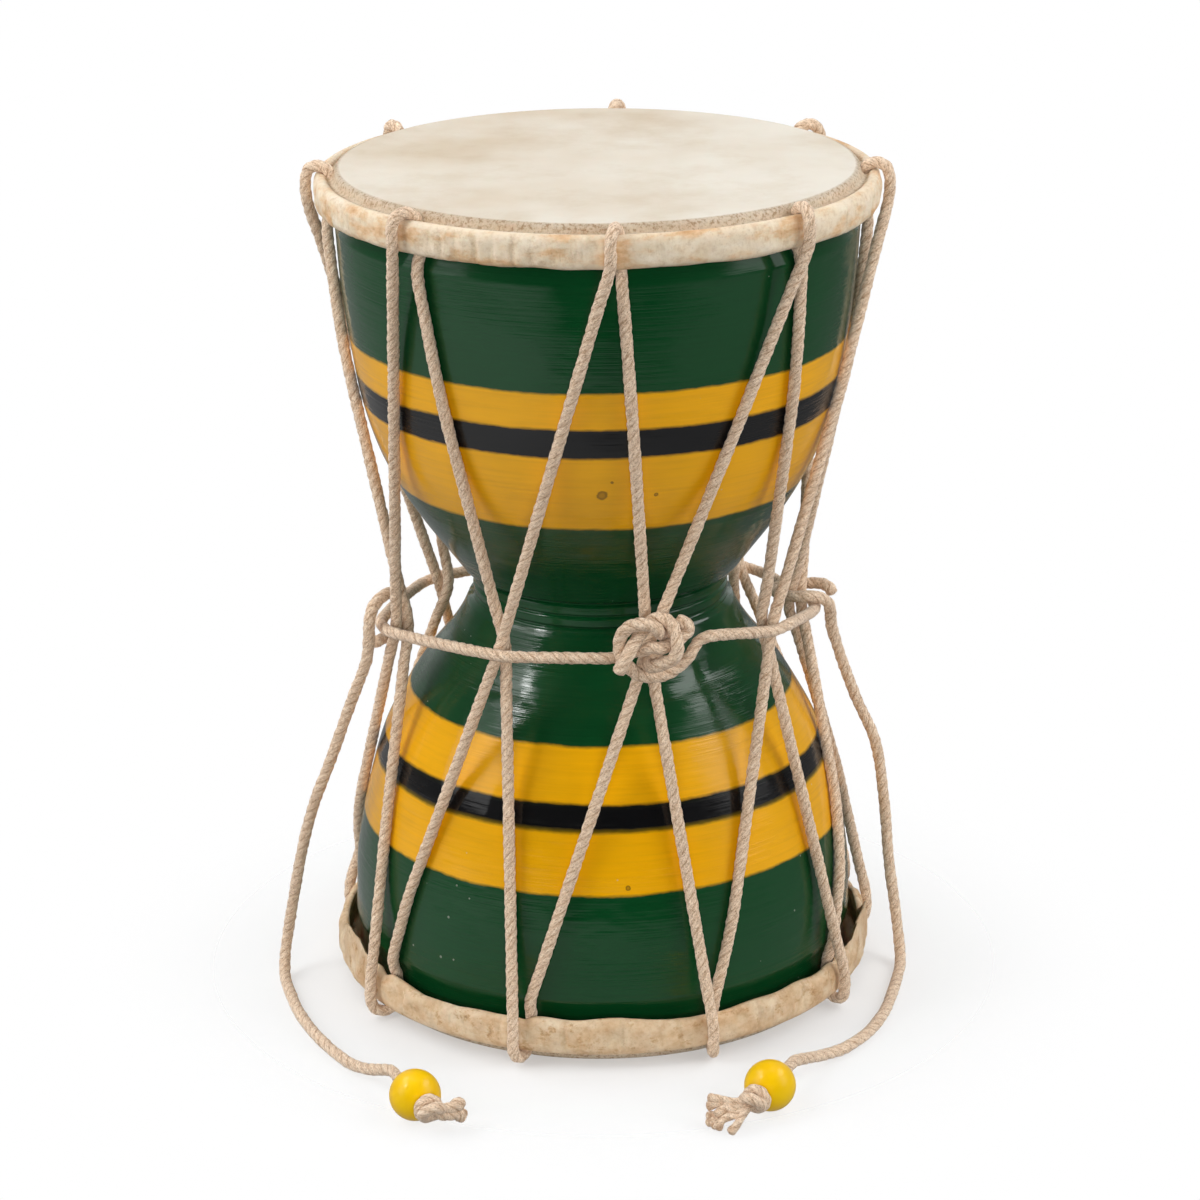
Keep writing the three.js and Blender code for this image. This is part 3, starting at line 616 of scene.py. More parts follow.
def chip_mark(s, place, chip, size, ragged_by):
    """A ragged brown mark, as a share of its colour."""
    apart = s.add("VectorMath", operation="DISTANCE")
    s.feed(apart.inputs[0], place)
    s.feed(apart.inputs[1], Vector(chip) * MM)
    sizes_away = s.times(apart.outputs["Value"], 1 / MM / size)
    ragged = s.calc("ADD", sizes_away, s.times(ragged_by, 0.9))
    return s.ramp(s.calc("DIVIDE", ragged, 2.0), [(0.45, 0.5), (0.6, 0.75), (0.68, 0.75), (0.82, 0.0)])


def lacquer():
    """Glossy bands with turning lines, chips, worn specks and dust."""
    s = shader("banded_lacquer")
    place = s.place()
    coarse = s.noise(s.stretched(place, (1, 1, 2.5)), 38, 2)
    fine_grain = s.noise(s.stretched(place, (1, 1, 3)), 320, 2)
    height = s.swayed(s.swayed(s.axes(place)["Z"], coarse, COARSE_SWAY), fine_grain, FINE_SWAY)
    colour = band_colour(s, s.calc("DIVIDE", height, HEIGHT * MM))
    streaks = s.noise(s.stretched(place, (3, 3, 90)), 14, 5, 0.62)
    colour = s.tinted(colour, s.ramp(streaks, [(0.3, 0.93), (0.5, 1.0), (0.72, 1.04)]))
    patches = s.noise(place, 17, 4, 0.6)
    patches = s.ramp(patches, [(0.3, (0.86, 0.88, 0.8)), (0.55, 1.0), (0.75, (1.05, 1.02, 0.96))])
    colour = s.tinted(colour, patches)
    thin = s.noise(place, 30, 2)
    colour = s.mixed(spots(s, place, 75, thin, 0.6, 0.42, 0.65), colour, srgb(92, 60, 20))
    for chip, size in CHIPS:
        colour = s.mixed(chip_mark(s, place, chip, size, fine_grain), colour, srgb(96, 64, 14))
    colour = s.mixed(spots(s, place, 190, thin, 0.5, 0.35, 0.35), colour, srgb(200, 205, 190))
    turned = s.noise(s.stretched(place, (1.5, 1.5, 160)), 9, 4, 0.6)
    where = s.ramp(s.noise(s.stretched(place, (1, 1, 2.5)), 26, 3, 0.6), [(0.4, 0.15), (0.62, 1.0)])
    normal = s.bump(s.times(turned, where), 0.45, 0.5 * MM)
    normal = s.bump(s.noise(s.stretched(place, (1, 1, 2.2)), 75, 2, 0.5), 0.2, MM, Normal=normal)
    return s.surface(colour, Roughness=s.ramp(streaks, [(0.3, 0.4), (0.7, 0.5)]), Specular_IOR_Level=0.1,
                     Coat_Weight=1.0, Coat_Roughness=0.04, Coat_IOR=1.5, Normal=normal, Coat_Normal=normal)


FLAT_TONES = [
    (0.3, srgb(208, 189, 162)), (0.44, srgb(222, 210, 192)), (0.58, srgb(230, 222, 208)),
    (0.75, srgb(234, 227, 215)),
]
AGED_TONES = [
    (0.3, srgb(215, 182, 143)), (0.42, srgb(227, 199, 163)), (0.52, srgb(235, 212, 180)),
    (0.68, srgb(245, 229, 203)),
]
FRESH_TONES = [
    (0.3, srgb(212, 168, 122)), (0.41, srgb(232, 201, 163)), (0.5, srgb(238, 221, 195)),
    (0.66, srgb(244, 232, 212)),
]
BLOTCH_TONES = [(0.3, (0.5, 0.37, 0.26)), (0.38, (0.8, 0.69, 0.56)), (0.45, 1.0)]


def rolled_colour(s, place, wrap, across, aged):
    """The skin round its roll, with stains along and across it."""
    run = 0.07 + 0.06 * aged
    along = s.noise(s.stretched(wrap, (run, run, 0.2)), 1.0, 6, 0.62)
    colour = s.ramp(along, AGED_TONES if aged > 0.5 else FRESH_TONES)
    blotches = s.noise(s.stretched(wrap, (0.22, 0.22, 0.32)), 1.0, 6, 0.75)
    colour = s.tinted(colour, s.ramp(blotches, BLOTCH_TONES), 0.2 + 0.7 * aged)
    colour = s.tinted(colour, (1 - 0.09 * aged, 0.97 - 0.11 * aged, 0.94 - 0.13 * aged, 1))
    colour = s.tinted(colour, s.ramp(across, [(0.3, (0.84, 0.75, 0.62)), (0.46, 1.0)]), 0.3)
    mottle = s.ramp(s.noise(place, 620, 4, 0.65), [(0.32, (0.86, 0.81, 0.75)), (0.5, 1.0), (0.7, 1.05)])
    return s.tinted(colour, mottle, 0.8)


def flat_colour(s, place):
    """The pale middle of a head, a little darker to the left and to the back."""
    axes = s.axes(place)
    drift = s.times(s.calc("SUBTRACT", axes["X"], s.times(axes["Y"], 0.5)), 1.2)
    flat = s.ramp(s.calc("ADD", s.noise(place, 13, 4, 0.55), drift), FLAT_TONES)
    cloud = s.ramp(s.noise(place, 46, 5, 0.62), [(0.32, (0.9, 0.86, 0.8)), (0.5, 1.0), (0.7, 1.03)])
    return s.tinted(flat, cloud, 0.8)


def rawhide(name, aged):
    """Skin that is flat and pale in the middle, and rolled round the rim, with stains and creases there, and
    painted shade in its groove and folds.
    """
    s = shader(name)
    place = s.place()
    zone, crease, wrap = s.attribute("zone"), s.attribute("crease"), s.attribute("wrap", "Vector")
    across = s.noise(s.stretched(wrap, (0.42, 0.42, 0.14)), 1.0, 4, 0.6)
    colour = s.mixed(zone, flat_colour(s, place), rolled_colour(s, place, wrap, across, aged))
    pore = s.ramp(s.cells(place, 1300), [(0.1, (0.55, 0.46, 0.36)), (0.36, 1.0)])
    gate = s.ramp(s.noise(place, 90, 3), [(0.45, 0.0), (0.62, 0.7)])
    gated = s.times(gate, s.calc("ADD", s.times(zone, 0.3), 0.06))
    colour = s.tinted(colour, pore, s.calc("ADD", gated, s.times(crease, 0.35), clamp=True))
    speckle = s.ramp(s.noise(place, 1100, 3, 0.7), [(0.36, (0.6, 0.48, 0.36)), (0.5, 1.0), (0.66, 1.12)])
    colour = s.tinted(colour, speckle, s.times(crease, 1.6, clamp=True))
    # Darkens where the mask is high: painted shade in the groove between disc and roll and in the folds,
    # darker inner faces of standing flaps, and a real brown stain at the disc's edge.
    colour = s.tinted(colour, (0.62, 0.53, 0.43, 1), crease)
    normal = s.bump(s.noise(place, 900, 3, 0.6), 0.3, 0.15 * MM)
    normal = s.bump(s.noise(place, 160, 4, 0.6), 0.3, 0.5 * MM, Normal=normal)
    normal = s.bump(across, 0.15, 0.6 * MM, Normal=normal)
    crinkle = s.noise(s.stretched(wrap, (0.75, 0.75, 0.2)), 1.0, 3, 0.55)
    here = s.ramp(s.noise(s.stretched(wrap, (0.05, 0.05, 0.05)), 1.0, 2), [(0.4, 0.15), (0.6, 1.0)])
    normal = s.bump(s.times(s.times(crinkle, here), zone), 0.55, 1.2 * MM, Normal=normal)
    return s.surface(colour, Normal=normal, Roughness=0.6, Specular_IOR_Level=0.35, Subsurface_Weight=0.06,
                     Subsurface_Scale=2 * MM)


ROPE_TONES = [
    (0.3, srgb(186, 153, 126)), (0.43, srgb(222, 196, 169)), (0.56, srgb(239, 218, 194)),
    (0.7, srgb(253, 239, 220)),
]
FLECK_TONES = [(0.34, (0.54, 0.42, 0.33)), (0.47, (0.99, 0.96, 0.925)), (0.58, 1.18)]


def cotton_rope():
    """Fibres that follow the lay of the strands, with painted shade in the grooves between them."""
    s = shader("laid_cotton_rope")
    lay = s.attribute("lay", "Vector")
    fibres = s.noise(s.stretched(lay, (3.4, 3.4, 0.55)), 1.6, 4, 0.65)
    tufts = s.noise(s.stretched(lay, (1.1, 1.1, 0.3)), 1.1, 3, 0.6)
    shade = s.ramp(tufts, [(0.3, (0.86, 0.79, 0.72)), (0.5, 1.0), (0.72, (1.04, 1.03, 1.02))])
    colour = s.tinted(s.ramp(fibres, ROPE_TONES), shade)
    flecks = s.noise(lay, 2.3, 3, 0.7)
    colour = s.tinted(colour, s.ramp(flecks, FLECK_TONES), 0.9)
    groove = s.attribute("groove")
    # Painted shade between the strands, where the groove value is low; at the cut tips of the end knots the
    # value is lowered, which gives them a real brown soiling.
    groove_shade_and_tip_soil = s.ramp(groove, [(0.0, (0.5, 0.36, 0.26)), (0.28, (0.86, 0.79, 0.72)), (0.55, 1.0)])
    normal = s.bump(flecks, 0.5, 0.3 * MM, Normal=s.bump(fibres, 0.5, 0.3 * MM))
    return s.surface(s.tinted(colour, groove_shade_and_tip_soil, 0.8), Normal=normal, Roughness=0.95, Specular_IOR_Level=0.2,
                     Sheen_Weight=0.25, Sheen_Roughness=0.6)


def two_toned(s, dark, light, scale, detail, stretch=1, **values):
    """A material whose colour runs softly between two tones."""
    grain = s.noise(s.stretched(s.place(), (1, 1, stretch)), scale, detail)
    return s.surface(s.ramp(grain, [(0.3, dark), (0.7, light)]), **values)


def bead_lacquer():
    s = shader("bead_lacquer")
    relief = s.bump(s.noise(s.place(), 260, 2), 0.06, 0.4 * MM)
    return two_toned(s, srgb(247, 194, 0), srgb(252, 206, 1), 130, 3, Normal=relief, Roughness=0.45,
                     Specular_IOR_Level=0.15, Coat_Weight=0.5, Coat_Roughness=0.16)


rope_material, lacquer_material, bead_material = cotton_rope(), lacquer(), bead_lacquer()
top_skin, bottom_skin = rawhide("rawhide", 0.15), rawhide("aged_rawhide", 1.0)
fuzz_material = two_toned(shader("loose_fibre"), srgb(206, 182, 154), srgb(236, 222, 204), 400, 2,
                          Roughness=0.9, Specular_IOR_Level=0.1)
cane_material = two_toned(shader("bare_cane"), srgb(150, 112, 66), srgb(196, 158, 106), 160, 4, stretch=9,
                          Roughness=0.6)


def dressed(obj, body, slot, *nodes):
    """Rides on its body, if one is given, in the place of CAD nodes; the slot is not used."""
    if body:
        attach(obj, body)
    if nodes:
        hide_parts(*nodes)
    return obj


# The striker cords, each with its bead and end knot
LEFT_TIPS = [(8.3, 3.3, 0.4), (8.6, 2.8, -3.8)]
RIGHT_TIPS = [
    (-12.3, 1.4, 0.1), (-12.6, 0.6, -2.2), (-12.8, -0.6, -4.4), (-12.9, -1.6, -6.1), (-10.2, -5.4, -5.9),
    (-7, -7.4, -6), (-11.6, -3.6, -6.2), (-10.6, -2.6, -3),
]
TASSEL_STRAND, KNOT_ROPE_R = 2.15, 1.55
HIDDEN_START = 1.3


def perpendicular(axis):
    side = unit(np.cross(axis, [0, 0, 1.0]))
    return side, np.cross(side, axis)


def ring(centre, axis, radius, tilt=0.0, count=14):
    side, up = perpendicular(axis)
    up = up * math.cos(tilt) + axis * math.sin(tilt)
    a = np.arange(count) * 2 * math.pi / count
    return centre + radius * (np.cos(a)[:, None] * side + np.sin(a)[:, None] * up)


def end_knot(name, striker, tips, strand, lobes):
    """Two turns against the bead, and crooked cut strands that swell and darken towards their tips."""
    axis, knot, against = striker["axis"], striker["knot"], striker["against"]
    lowest = strand / 2 + FLOOR_GAP
    turns = (ring(against, axis, TURN_R), ring(against + axis * ROPE * 0.75, axis, TURN_R, 0.7))
    parts = [laid_rope(turn, radius=KNOT_ROPE_R, step=0.4, pitch=7.5, closed=True, seed=seed)
             for seed, turn in enumerate(turns, 4)]
    crooked = np.random.default_rng(9)
    for i, tip in enumerate(tips):
        end = knot + np.array(tip)
        end[2] = max(end[2], lowest)
        bend = knot + (end - knot) * 0.4 + axis * ROPE / 2
        kink = bend + (end - bend) * 0.55 + crooked.uniform(-0.75, 0.75, 3)
        kink[2] = max(kink[2], lowest)

        def fuller(t, whole):
            return 1 + 0.2 * np.clip((t - whole + 4) / 3, 0, 1) + 0.07 * np.sin(1.9 * t + i)

        part = laid_rope([knot, bend, kink, end], radius=strand / 2, step=0.3, pitch=7, lobes=lobes,
                         depth=0.22, seed=20 + i, fuller=fuller)
        round_strand, distance = part[2][:, 0], part[2][:, 2]
        soiled = np.clip((distance - distance.max() + 5) / 4, 0, 1)
        part[3][:] *= 1 - 0.75 * soiled * (np.sin(3.1 * round_strand + 2.3 * distance) > -0.2)
        parts.append(part)
    return rope_object(name, parts)


def bead_object(name, striker, columns=72):
    """A turned ball with an open bore, whose lips are eased."""
    bore = BEAD_BORE / 2
    edge = math.asin((bore + CLEAR) / BEAD_R)
    outline = [(BEAD_R * math.sin(q), -BEAD_R * math.cos(q)) for q in np.linspace(edge, math.pi - edge, 40)]
    lip = BEAD_R * math.cos(edge) - CLEAR
    open_bore = bore + BORE_EASE
    outline += [(open_bore, lip), (bore, lip - CLEAR), (bore, 0), (bore, CLEAR - lip), (open_bore, -lip)]
    side, up = perpendicular(striker["axis"])
    t = np.arange(columns) * 2 * math.pi / columns
    across = np.cos(t)[:, None] * side + np.sin(t)[:, None] * up
    verts = np.vstack([striker["bead"] + striker["axis"] * z + across * r for r, z in outline])
    faces = [face[::-1] for face in grid_faces(len(outline), columns, wrap_rows=True)]
    return mesh_object(name, verts, faces, bead_material)


def dress_striker(side, number, striker, tips, strand, lobes):
    """The cord is drawn from inside its hitch, and its declared length starts where it leaves the hitch."""
    line = striker["cord"]
    drawn = line.copy()
    drawn[0] += unit(drawn[0] - drawn[1]) * HIDDEN_START
    rope = laid_rope(drawn, seed=30 + number, free=(False, False))
    cord = rope_object(f"laid_striker_cord_{side}", [rope])
    bead = dressed(bead_object(f"turned_bead_{side}", striker), f"bead_{side}", "bead", f"bead_{side}")
    knot = end_knot(f"tied_end_{side}", striker, tips, strand, lobes)
    dressed(knot, f"striker_{side}", "rope", f"end_knot_{side}")
    hairs = fuzz(f"cord_fuzz_{side}", [line], 40 + number)
    for piece in (cord, hairs):
        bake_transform(piece)
    dressed(cord, None, "rope", f"striker_cord_{side}")
    dressed(hairs, None, "rope")


left_hitch, right_hitch = hitch_route(6, HITCH_LEFT), hitch_route(2, HITCH_RIGHT)
left_striker = striker_route(LEFT_BEAD, LEFT_BORE_AZ, STRIKER_LEFT, left_hitch)
right_striker = striker_route(RIGHT_BEAD, RIGHT_BORE_AZ, STRIKER_RIGHT, right_hitch)
dress_striker("left", 1, left_striker, LEFT_TIPS, ROPE, 3)
dress_striker("right", 2, right_striker, RIGHT_TIPS, TASSEL_STRAND, 2)

# The lacing, the waist cord and the hitches
lacing_a, lacing_b, waist = lacing(0), lacing(1), waist_route()
right_knot_length, left_knot_length = arc(waist)[RIGHT_KNOT_SPANS], arc(waist[::-1])[LEFT_KNOT_SPANS]


def knot_swell(distances, whole):
    """The waist cord is fuller inside the front knot, at both of its ends."""
    right = np.clip((right_knot_length - 10 - distances) / 8, 0, 1)
    left = np.clip((distances - whole + left_knot_length - 14) / 6, 0, 1)
    return 1 + 0.12 * right + 0.12 * left


def hitch_swell(distances, whole):
    return np.full_like(distances, 1.06)


TIED_ROPES = {
    "lacing_a": dict(route=lacing_a, closed=True),
    "lacing_b": dict(route=lacing_b, closed=True),
    "waist_cord": dict(route=waist, fuller=knot_swell),
    "hitch_left": dict(route=left_hitch, fuller=hitch_swell, free=(False, True)),
    "hitch_right": dict(route=right_hitch, fuller=hitch_swell, free=(False, True)),
}
for seed, (name, form) in enumerate(TIED_ROPES.items(), 11):
    dressed(rope_object(f"laid_{name}", [laid_rope(seed=seed, **form)]), "drum", "rope", name)
dressed(fuzz("lacing_fuzz", [lacing_a, lacing_b, waist, left_hitch, right_hitch], 3), "drum", "rope")


# Shell and heads
def lathe(name, outline, material, divisions=288, shape=None, wrap=True, caps=False):
    """Turns (radius, height) points; shape(row, azimuths, r, z) may move a ring, and caps close both ends."""
    az = np.arange(divisions) * 360 / divisions
    rings, a = [], np.radians(az)
    for k, (r, z) in enumerate(outline):
        rr, zz = np.full(divisions, float(r)), np.full(divisions, float(z))
        if shape is not None:
            rr, zz = shape(k, az, rr, zz)
        rings.append(np.stack([rr * np.sin(a), -rr * np.cos(a), zz], axis=1))
    faces = grid_faces(len(outline), divisions, wrap_rows=wrap)
    if caps:
        end = (len(outline) - 1) * divisions
        faces += [list(range(divisions))[::-1], list(range(end, end + divisions))]
    return mesh_object(name, np.vstack(rings), faces, material)


def fine(points, step):
    """An outline of (radius, height), rounded and finely sampled."""
    p = spline([(r, z, 0) for r, z in points])
    s = arc(p)
    t = np.linspace(0, s[-1], max(2, round(s[-1] / step)) + 1)
    return [(r, z) for r, z, _ in along_line(p, t, s)]


def bell(x, middle, width):
    return math.exp(-((x - middle) / width) ** 2)


def shell_object(outline_step=1.2, collar_step=0.2):
    """The shell's outline from the lower rim up the outside and down the inside."""
    collar_half = COLLAR_HALF + 0.6
    collar = []
    for z in np.arange(NECK_Z - collar_half, NECK_Z + collar_half + 0.01, collar_step):
        groove = sum(bell(z, NECK_Z + side * COLLAR_GROOVES, 0.42) for side in (-1, 0, 1))
        collar.append((NECK_R + COLLAR_PROUD - 0.8 * groove, z))
    clear_of_collar = collar_half + CLEAR
    lower = [q for q in fine(LOWER, outline_step) if q[1] < NECK_Z - clear_of_collar]
    upper = [q for q in fine(UPPER, outline_step) if q[1] > NECK_Z + clear_of_collar]
    rim = [(RIM_R - RIM_ROUND, RIM_GAP), (RIM_R - RIM_CUT, RIM_GAP + RIM_CUT), (RIM_R, RIM_GAP + RIM_ROUND),
           (RIM_R, 5)]
    low_rim = rim + [(RIM_R, BOTTOM["recess"] - RECESS_SLOPE)]
    top_rim = [(RIM_R, HEIGHT - RECESS + RECESS_SLOPE)] + [(r, HEIGHT - z) for r, z in rim[::-1]]
    mouth = BELLY_R - WALL
    inside = [(mouth, HEIGHT - RIM_GAP), *bowl(UPPER_SHARES[::-1], HEIGHT - NECK_Z, BORE_R, mouth),
              *bowl(LOWER_SHARES, -NECK_Z, BORE_R, mouth), (mouth, RIM_GAP)]
    return lathe("turned_shell", low_rim + lower + collar + upper + top_rim + inside, lacquer_material)


def off(azimuths, centre):
    """Signed degrees from a centre, the short way round."""
    return (azimuths - centre + 180) % 360 - 180


def hump(azimuths, centre, width):
    return np.exp(-(off(azimuths, centre) / width) ** 2)


def harmonics(azimuths, seed, low, high, fade):
    """A smooth closed wave round the drum, scaled to -1 to 1."""
    local = np.random.default_rng(seed)
    a = np.radians(azimuths)
    total = 0
    for k in range(low, high):
        total = total + local.normal(0, 1 / (1 + k * fade)) * np.cos(k * a + local.uniform(0, 6.28))
    return total / np.abs(total).max()


# The lapped skin's section, as radius and depth below the head's face, in millimetres
LAP_START = [(68.2, 0.0), (69.1, 0.12), (69.65, 0.45)]
LAP_OUTSIDE = [
    (70.0, 1.0), (70.35, 1.9), (70.9, 2.6), (71.5, 2.75), (72.2, 2.4), (72.9, 1.95), (73.8, 1.8),
    (74.6, 2.1), (75.3, 2.9), (75.72, 4.2), (75.78, 6.0), (75.7, 7.8), (75.4, 9.2), (74.9, 10.0),
    (74.2, 10.5), (73.4, 10.6), (72.8, 10.2),
]
LAP_INSIDE = [
    (73.0, 9.5), (74.1, 9.4), (74.7, 8.8), (74.95, 7.6), (74.98, 5), (74.7, 3.7), (74.0, 2.75),
    (72.8, 2.85), (71.5, 3.6), (70.4, 3.2), (69.4, 2.0), (69.2, 1.3), (68.4, 0.85),
]
FLAT_END, FLAT_RINGS, MIDDLE_R = 67.7, 42, 3
SKIN_STEP, SKIN_DIVISIONS, WRAP_FROM, WRAP_R = 0.32, 900, 68, 75
OUTER_FLAP_R, INNER_FLAP_R, WIDEST_R = 75.4, 74.55, 75.85
LIP_BACK_SHARES = [1, 0.95, 0.8, 0.45, 0.1]
# Azimuth and depth of each fold, and azimuth, half width and height of each flap that stands up
TOP_FOLDS = [
    (-34.5, 0.25), (-31.5, 0.4), (-28.2, 0.3), (-24.0, 0.45), (-20.5, 0.3), (-16.2, 0.5), (-12.5, 0.3),
    (12, 0.15), (-58, 0.3), (-66, 0.25), (58, 0.3), (72, 0.35), (101, 0.3), (118, 0.35), (150, 0.3),
    (163, 0.4), (198, 0.3), (212, 0.35), (246, 0.3), (261, 0.25),
]
BOTTOM_FOLDS = [
    (-62, 0.4), (-47, 0.35), (-38, 0.3), (-22, 0.35), (-8, 0.3), (4, 0.4), (16, 0.3), (34, 0.4), (47, 0.3),
    (56.7, 0.5), (120, 0.4), (138, 0.3), (170, 0.4), (188, 0.3), (226, 0.4), (240, 0.3),
]
FLAPS = [(-68.5, 7.5, 6.5), (77, 9.5, 7.0), (176, 9, 4.0)]


def roughness_round(turn, t, seed):
    return (0.16 * np.sin(23 * turn + 9 * t + seed) + 0.12 * np.sin(41 * turn - 14 * t)
            + 0.08 * np.sin(77 * turn + 21 * t))


def head_object(name, end, material, loops, seed, folds, flaps, lift):
    """A skin, flat over the rim, down into the lacing groove and lapped round its hoop: one closed sheet."""
    out = fine(LAP_START + LAP_OUTSIDE, SKIN_STEP)
    flat = [(r, 0.0) for r in np.linspace(MIDDLE_R, FLAT_END, FLAT_RINGS)]
    rows = flat + out + LAP_INSIDE + [(40, SKIN), (MIDDLE_R, SKIN)]
    first, last = len(flat), len(flat) + len(out)
    deeper, divisions = end["drop"] - TOP_DROP, SKIN_DIVISIONS
    az = np.arange(divisions) * 360 / divisions
    press = sum(hump(az, q, 1.6) for q in loops)
    swell, edge = harmonics(az, seed, 2, 14, 0.35), harmonics(az, seed + 1, 4, 46, 0.06)
    uneven = np.clip(0.45 + 0.75 * harmonics(az, seed + 2, 5, 30, 0.1), 0, 1.2)
    rise = lift * uneven * (1 - 0.8 * press.clip(0, 1))
    fold = sum(depth * (hump(az, at, 0.55) - 0.7 * hump(az, at + 1.3, 0.8)) for at, depth in folds)
    stand = np.zeros(divisions)
    for at, half, height in flaps:
        stand += height * np.clip(1.25 - (off(az, at) / half) ** 2, 0, 1) ** 0.6
    stand *= 0.9 + 0.1 * harmonics(az, seed + 3, 8, 40, 0.05)
    opened = np.clip(stand / 3, 0, 1)
    zone, crease, wrap, span = [], [], [], 0.0

    def shape(k, az, r, d):
        """Presses, folds and lifts one ring, and notes its zone, its painted shade and stain, and its place
        for the shader.
        """
        nonlocal span
        span += SKIN_STEP if k >= first else 0.0
        outside, lapped = k < last, first <= k < last
        t = (k - first) / (last - first - 1) if lapped else float(not outside)
        if outside:
            lip, on_roll = np.clip((t - 0.6) / 0.4, 0, 1), np.clip((t - 0.32) * 6, 0, 1)
        else:
            lip, on_roll = LIP_BACK_SHARES[k - last] if k - last < len(LIP_BACK_SHARES) else 0.0, 0.0
        face = math.sin(math.pi * np.clip((t - 0.42) / 0.58, 0, 1))
        if deeper and first <= k < last + len(LAP_INSIDE) - 4:
            d = d + deeper * np.clip((t - 0.05) * 4, 0, 1)
        turn = np.radians(az)
        r = r + on_roll * 0.12 * (swell - 1) + lip * (0.3 * press - 0.5 * face * fold)
        r = r + face * (roughness_round(turn, t, seed) * (0.8 + 0.45 * lift) - 0.45 * press - fold)
        d = d + lip * (0.3 * edge + rise) + 0.5 * press * bell(t, 0.22, 0.12) * outside
        flap_r = OUTER_FLAP_R if outside else INNER_FLAP_R
        r = np.minimum(r + lip * opened * (flap_r - r), WIDEST_R)
        d = d + lip * stand
        zone.append(np.full(divisions, float(np.clip(t * 3 - 0.1, 0, 1)) if k >= first else 0.0))
        # Painted shade in the groove between disc and roll, and a real brown stain at the disc's edge.
        groove_shade_and_edge_stain = 0.9 * bell(t, 0.27, 0.03) * outside
        if first + 2 <= k < last:
            groove_shade_and_edge_stain += 0.6 * bell(t, 0.14, 0.09) + 0.4 * bell(t, 0.06, 0.03)
        # Painted shade in the creases of the folds, and darker inner faces where a flap stands up.
        creased = face * np.clip(fold, 0, 1) * 0.5 + 0.5 * opened * (not outside)
        crease.append(np.clip(creased + groove_shade_and_edge_stain, 0, 1))
        distance = np.full(divisions, span + min(r.min(), WRAP_FROM))
        wrap.append(np.stack([WRAP_R * np.sin(turn), -WRAP_R * np.cos(turn), distance], axis=1))
        return r, end["face"] + end["into"] * d

    obj = lathe(name, rows, material, divisions, shape, wrap=False, caps=True)
    add_values(obj, zone=np.concatenate(zone), crease=np.concatenate(crease), wrap=np.vstack(wrap))
    if end["into"] > 0:
        obj.data.flip_normals()
    return obj


dressed(shell_object(), "drum", "lacquer", "shell")
for name, form in (
        ("top_head", (TOP, top_skin, TOP_LOOPS, 51, TOP_FOLDS, [], 0.0)),
        ("bottom_head", (BOTTOM, bottom_skin, BOTTOM_LOOPS, 61, BOTTOM_FOLDS, FLAPS, 1.9))):
    dressed(head_object(f"lapped_{name}", *form), "drum", "skin", name)
for hoop in ("top_hoop", "bottom_hoop"):
    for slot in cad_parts[hoop].material_slots:
        slot.material = cane_material


# Floor, light and surroundings
def mirrored_table(s, axes):
    """What the lacquer mirrors of the floor: a glowing stand-in for a lit pale table that ends in front, with
    nothing seen beyond it.
    """
    # Painted light: the table glows, brighter towards the front and to the left.
    shine = s.ramp(s.calc("ADD", axes["Y"], 0.5), [(0.2, 0.46), (0.4, 0.4), (0.6, 0.25), (0.9, 0.2)])
    across = s.ramp(s.calc("ADD", axes["X"], 0.5), [(0.3, 1.2), (0.5, 0.85), (0.7, 0.6)])
    table = s.put(s.add("Emission"), Color=s.tinted(shine, across))
    forward = s.times(axes["Y"], -1.0)
    bearing = s.calc("ADD", s.times(s.calc("ARCTAN2", axes["X"], forward), 0.5 / math.pi), 0.5)
    gap = s.ramp(bearing, [(0.436, 0.0), (0.45, 1.0), (0.585, 1.0), (0.6, 0.0)])
    near = s.ramp(forward, [(0.38, 0.0), (0.45, 1.0)])
    far = s.ramp(forward, [(0.8, 0.0), (0.85, 1.0)])
    return table.outputs[0], s.calc("MAXIMUM", s.times(gap, near), far)


def floor_material():
    """Pale round the drum and fading to the white surroundings."""
    s = shader("pale_floor")
    place = s.place()
    away = s.add("VectorMath", operation="LENGTH")
    s.feed(away.inputs[0], place)
    fade = s.ramp(s.times(away.outputs["Value"], 2.0), [(0.03, 0.0), (0.32, 1.0)], "EASE")
    open_air = s.add("BsdfTransparent").outputs[0]
    table, beyond = mirrored_table(s, s.axes(place))
    pale = s.put(s.nodes["Principled BSDF"], Base_Color=(0.95, 0.965, 0.98, 1), Roughness=0.6).outputs[0]
    faded = s.mixed_shaders(fade, pale, open_air)
    mirrored = s.mixed_shaders(beyond, table, open_air)
    glossy_ray = s.add("LightPath").outputs["Is Glossy Ray"]
    s.put(s.nodes["Material Output"], Surface=s.mixed_shaders(glossy_ray, faded, mirrored))
    return s.owner


bpy.ops.mesh.primitive_plane_add(size=2, location=(0, 0, 0))
floor = bpy.context.object
floor.name = "floor"
floor.data.materials.append(floor_material())


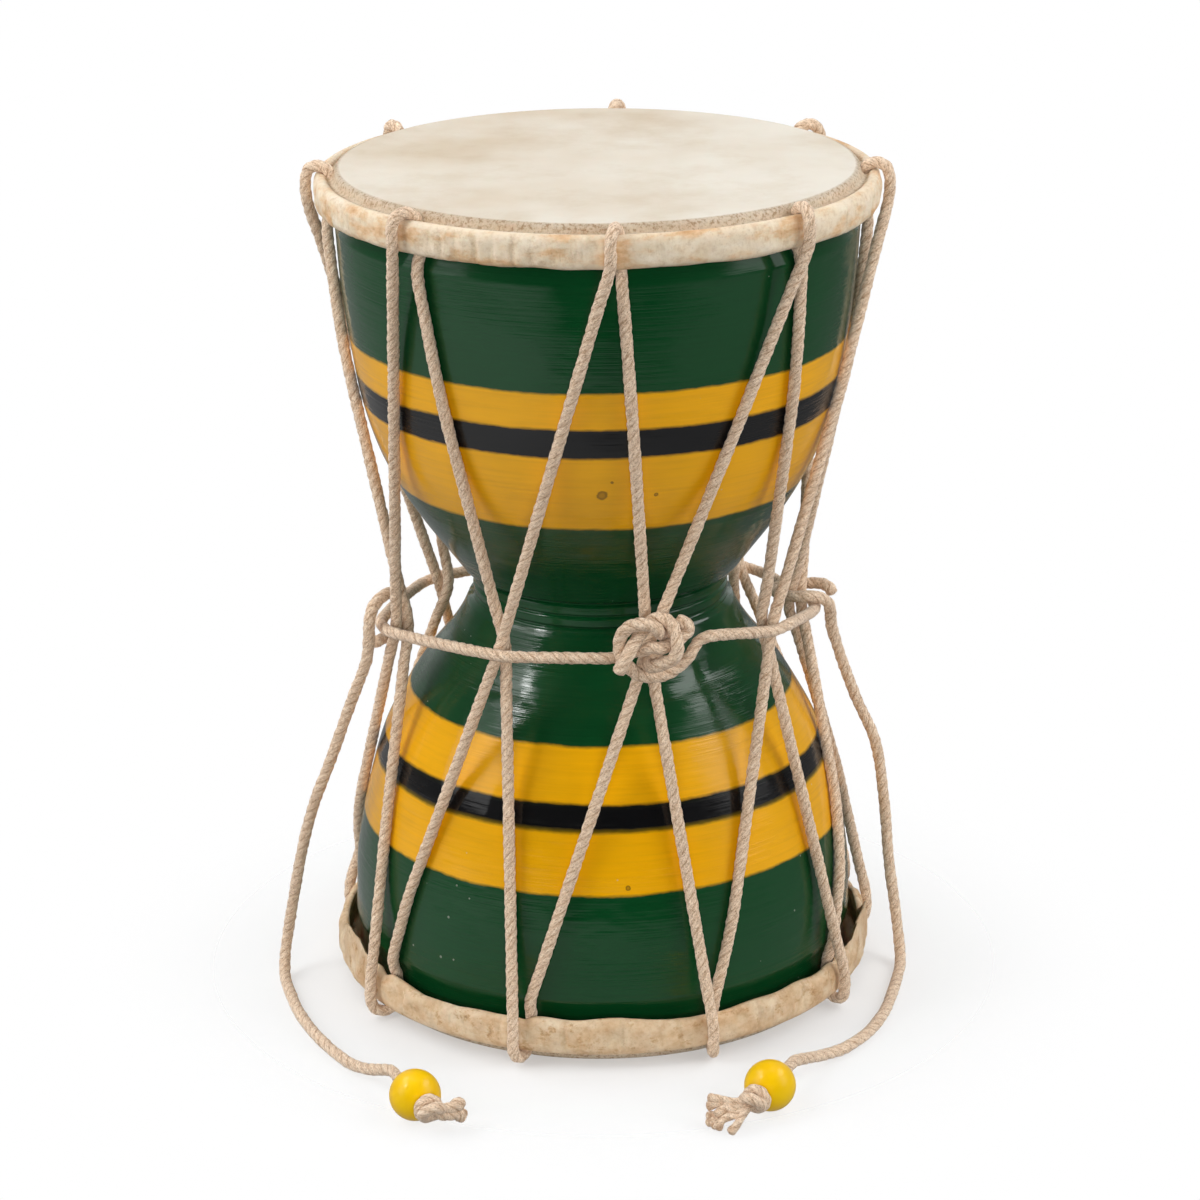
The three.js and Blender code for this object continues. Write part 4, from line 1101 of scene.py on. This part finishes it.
def softbox(name, place, size, power, aim=0.12, glossy=True):
    """A rectangular lamp aimed at a height on the drum's axis; reflections show it only if it is glossy."""
    data = bpy.data.lights.new(name, "AREA")
    data.shape = "RECTANGLE"
    data.size, data.size_y = size
    data.energy = power
    light = bpy.data.objects.new(name, data)
    facing = (Vector((0, 0, aim)) - Vector(place)).to_track_quat("-Z", "Y")
    light.matrix_world = Matrix.Translation(place) @ facing.to_matrix().to_4x4()
    light.visible_glossy = glossy
    bpy.context.scene.collection.objects.link(light)


softbox("left_window", (-0.62, 0.08, 0.84), (0.9, 0.36), 3.2)
softbox("left_lamp", (-0.64, -0.3, 0.8), (0.09, 0.14), 0.6)
softbox("right_window", (0.68, 0.06, 0.8), (0.7, 0.34), 2.5)
softbox("left_strip", (-0.82, -0.26, 0.42), (0.5, 0.46), 0.75)
softbox("left_fill", (-0.8, -0.4, 0.42), (0.5, 0.8), 2.5, glossy=False)
softbox("right_strip", (0.82, -0.24, 0.42), (0.5, 0.46), 0.75)
softbox("right_fill", (0.8, -0.4, 0.42), (0.5, 0.8), 2.6, glossy=False)
softbox("top_softbox", (0, 0.35, 1.65), (1.2, 0.9), 3, aim=0.1)
softbox("front_fill", (0, -1.9, 0.55), (1.2, 0.7), 15.5, aim=0.1, glossy=False)

# The camera sees white, the gloss a dim room that is bright behind the drum, and other rays a brighter one
world = bpy.data.worlds.new("surroundings")
bpy.context.scene.world = world
air = Shader(world)
direction = air.axes(air.add("TexCoord").outputs["Generated"])
backwards = air.calc("MULTIPLY_ADD", direction["Y"], 0.5, 0.5)
room = air.ramp(backwards, [(0.0, 0.03), (0.42, 0.06), (0.62, 0.5), (1.0, 0.86)])
mirrored_room = air.ramp(backwards, [(0.0, 0.02), (0.5, 0.05), (0.82, 0.13), (0.95, 0.5), (1.0, 0.9)])
rays = air.add("LightPath").outputs
lit = air.mixed(rays["Is Glossy Ray"], room, mirrored_room)
shown = air.mixed(rays["Is Camera Ray"], lit, (1, 1, 1, 1))
air.put(air.nodes["Background"], Color=shown, Strength=1.0)
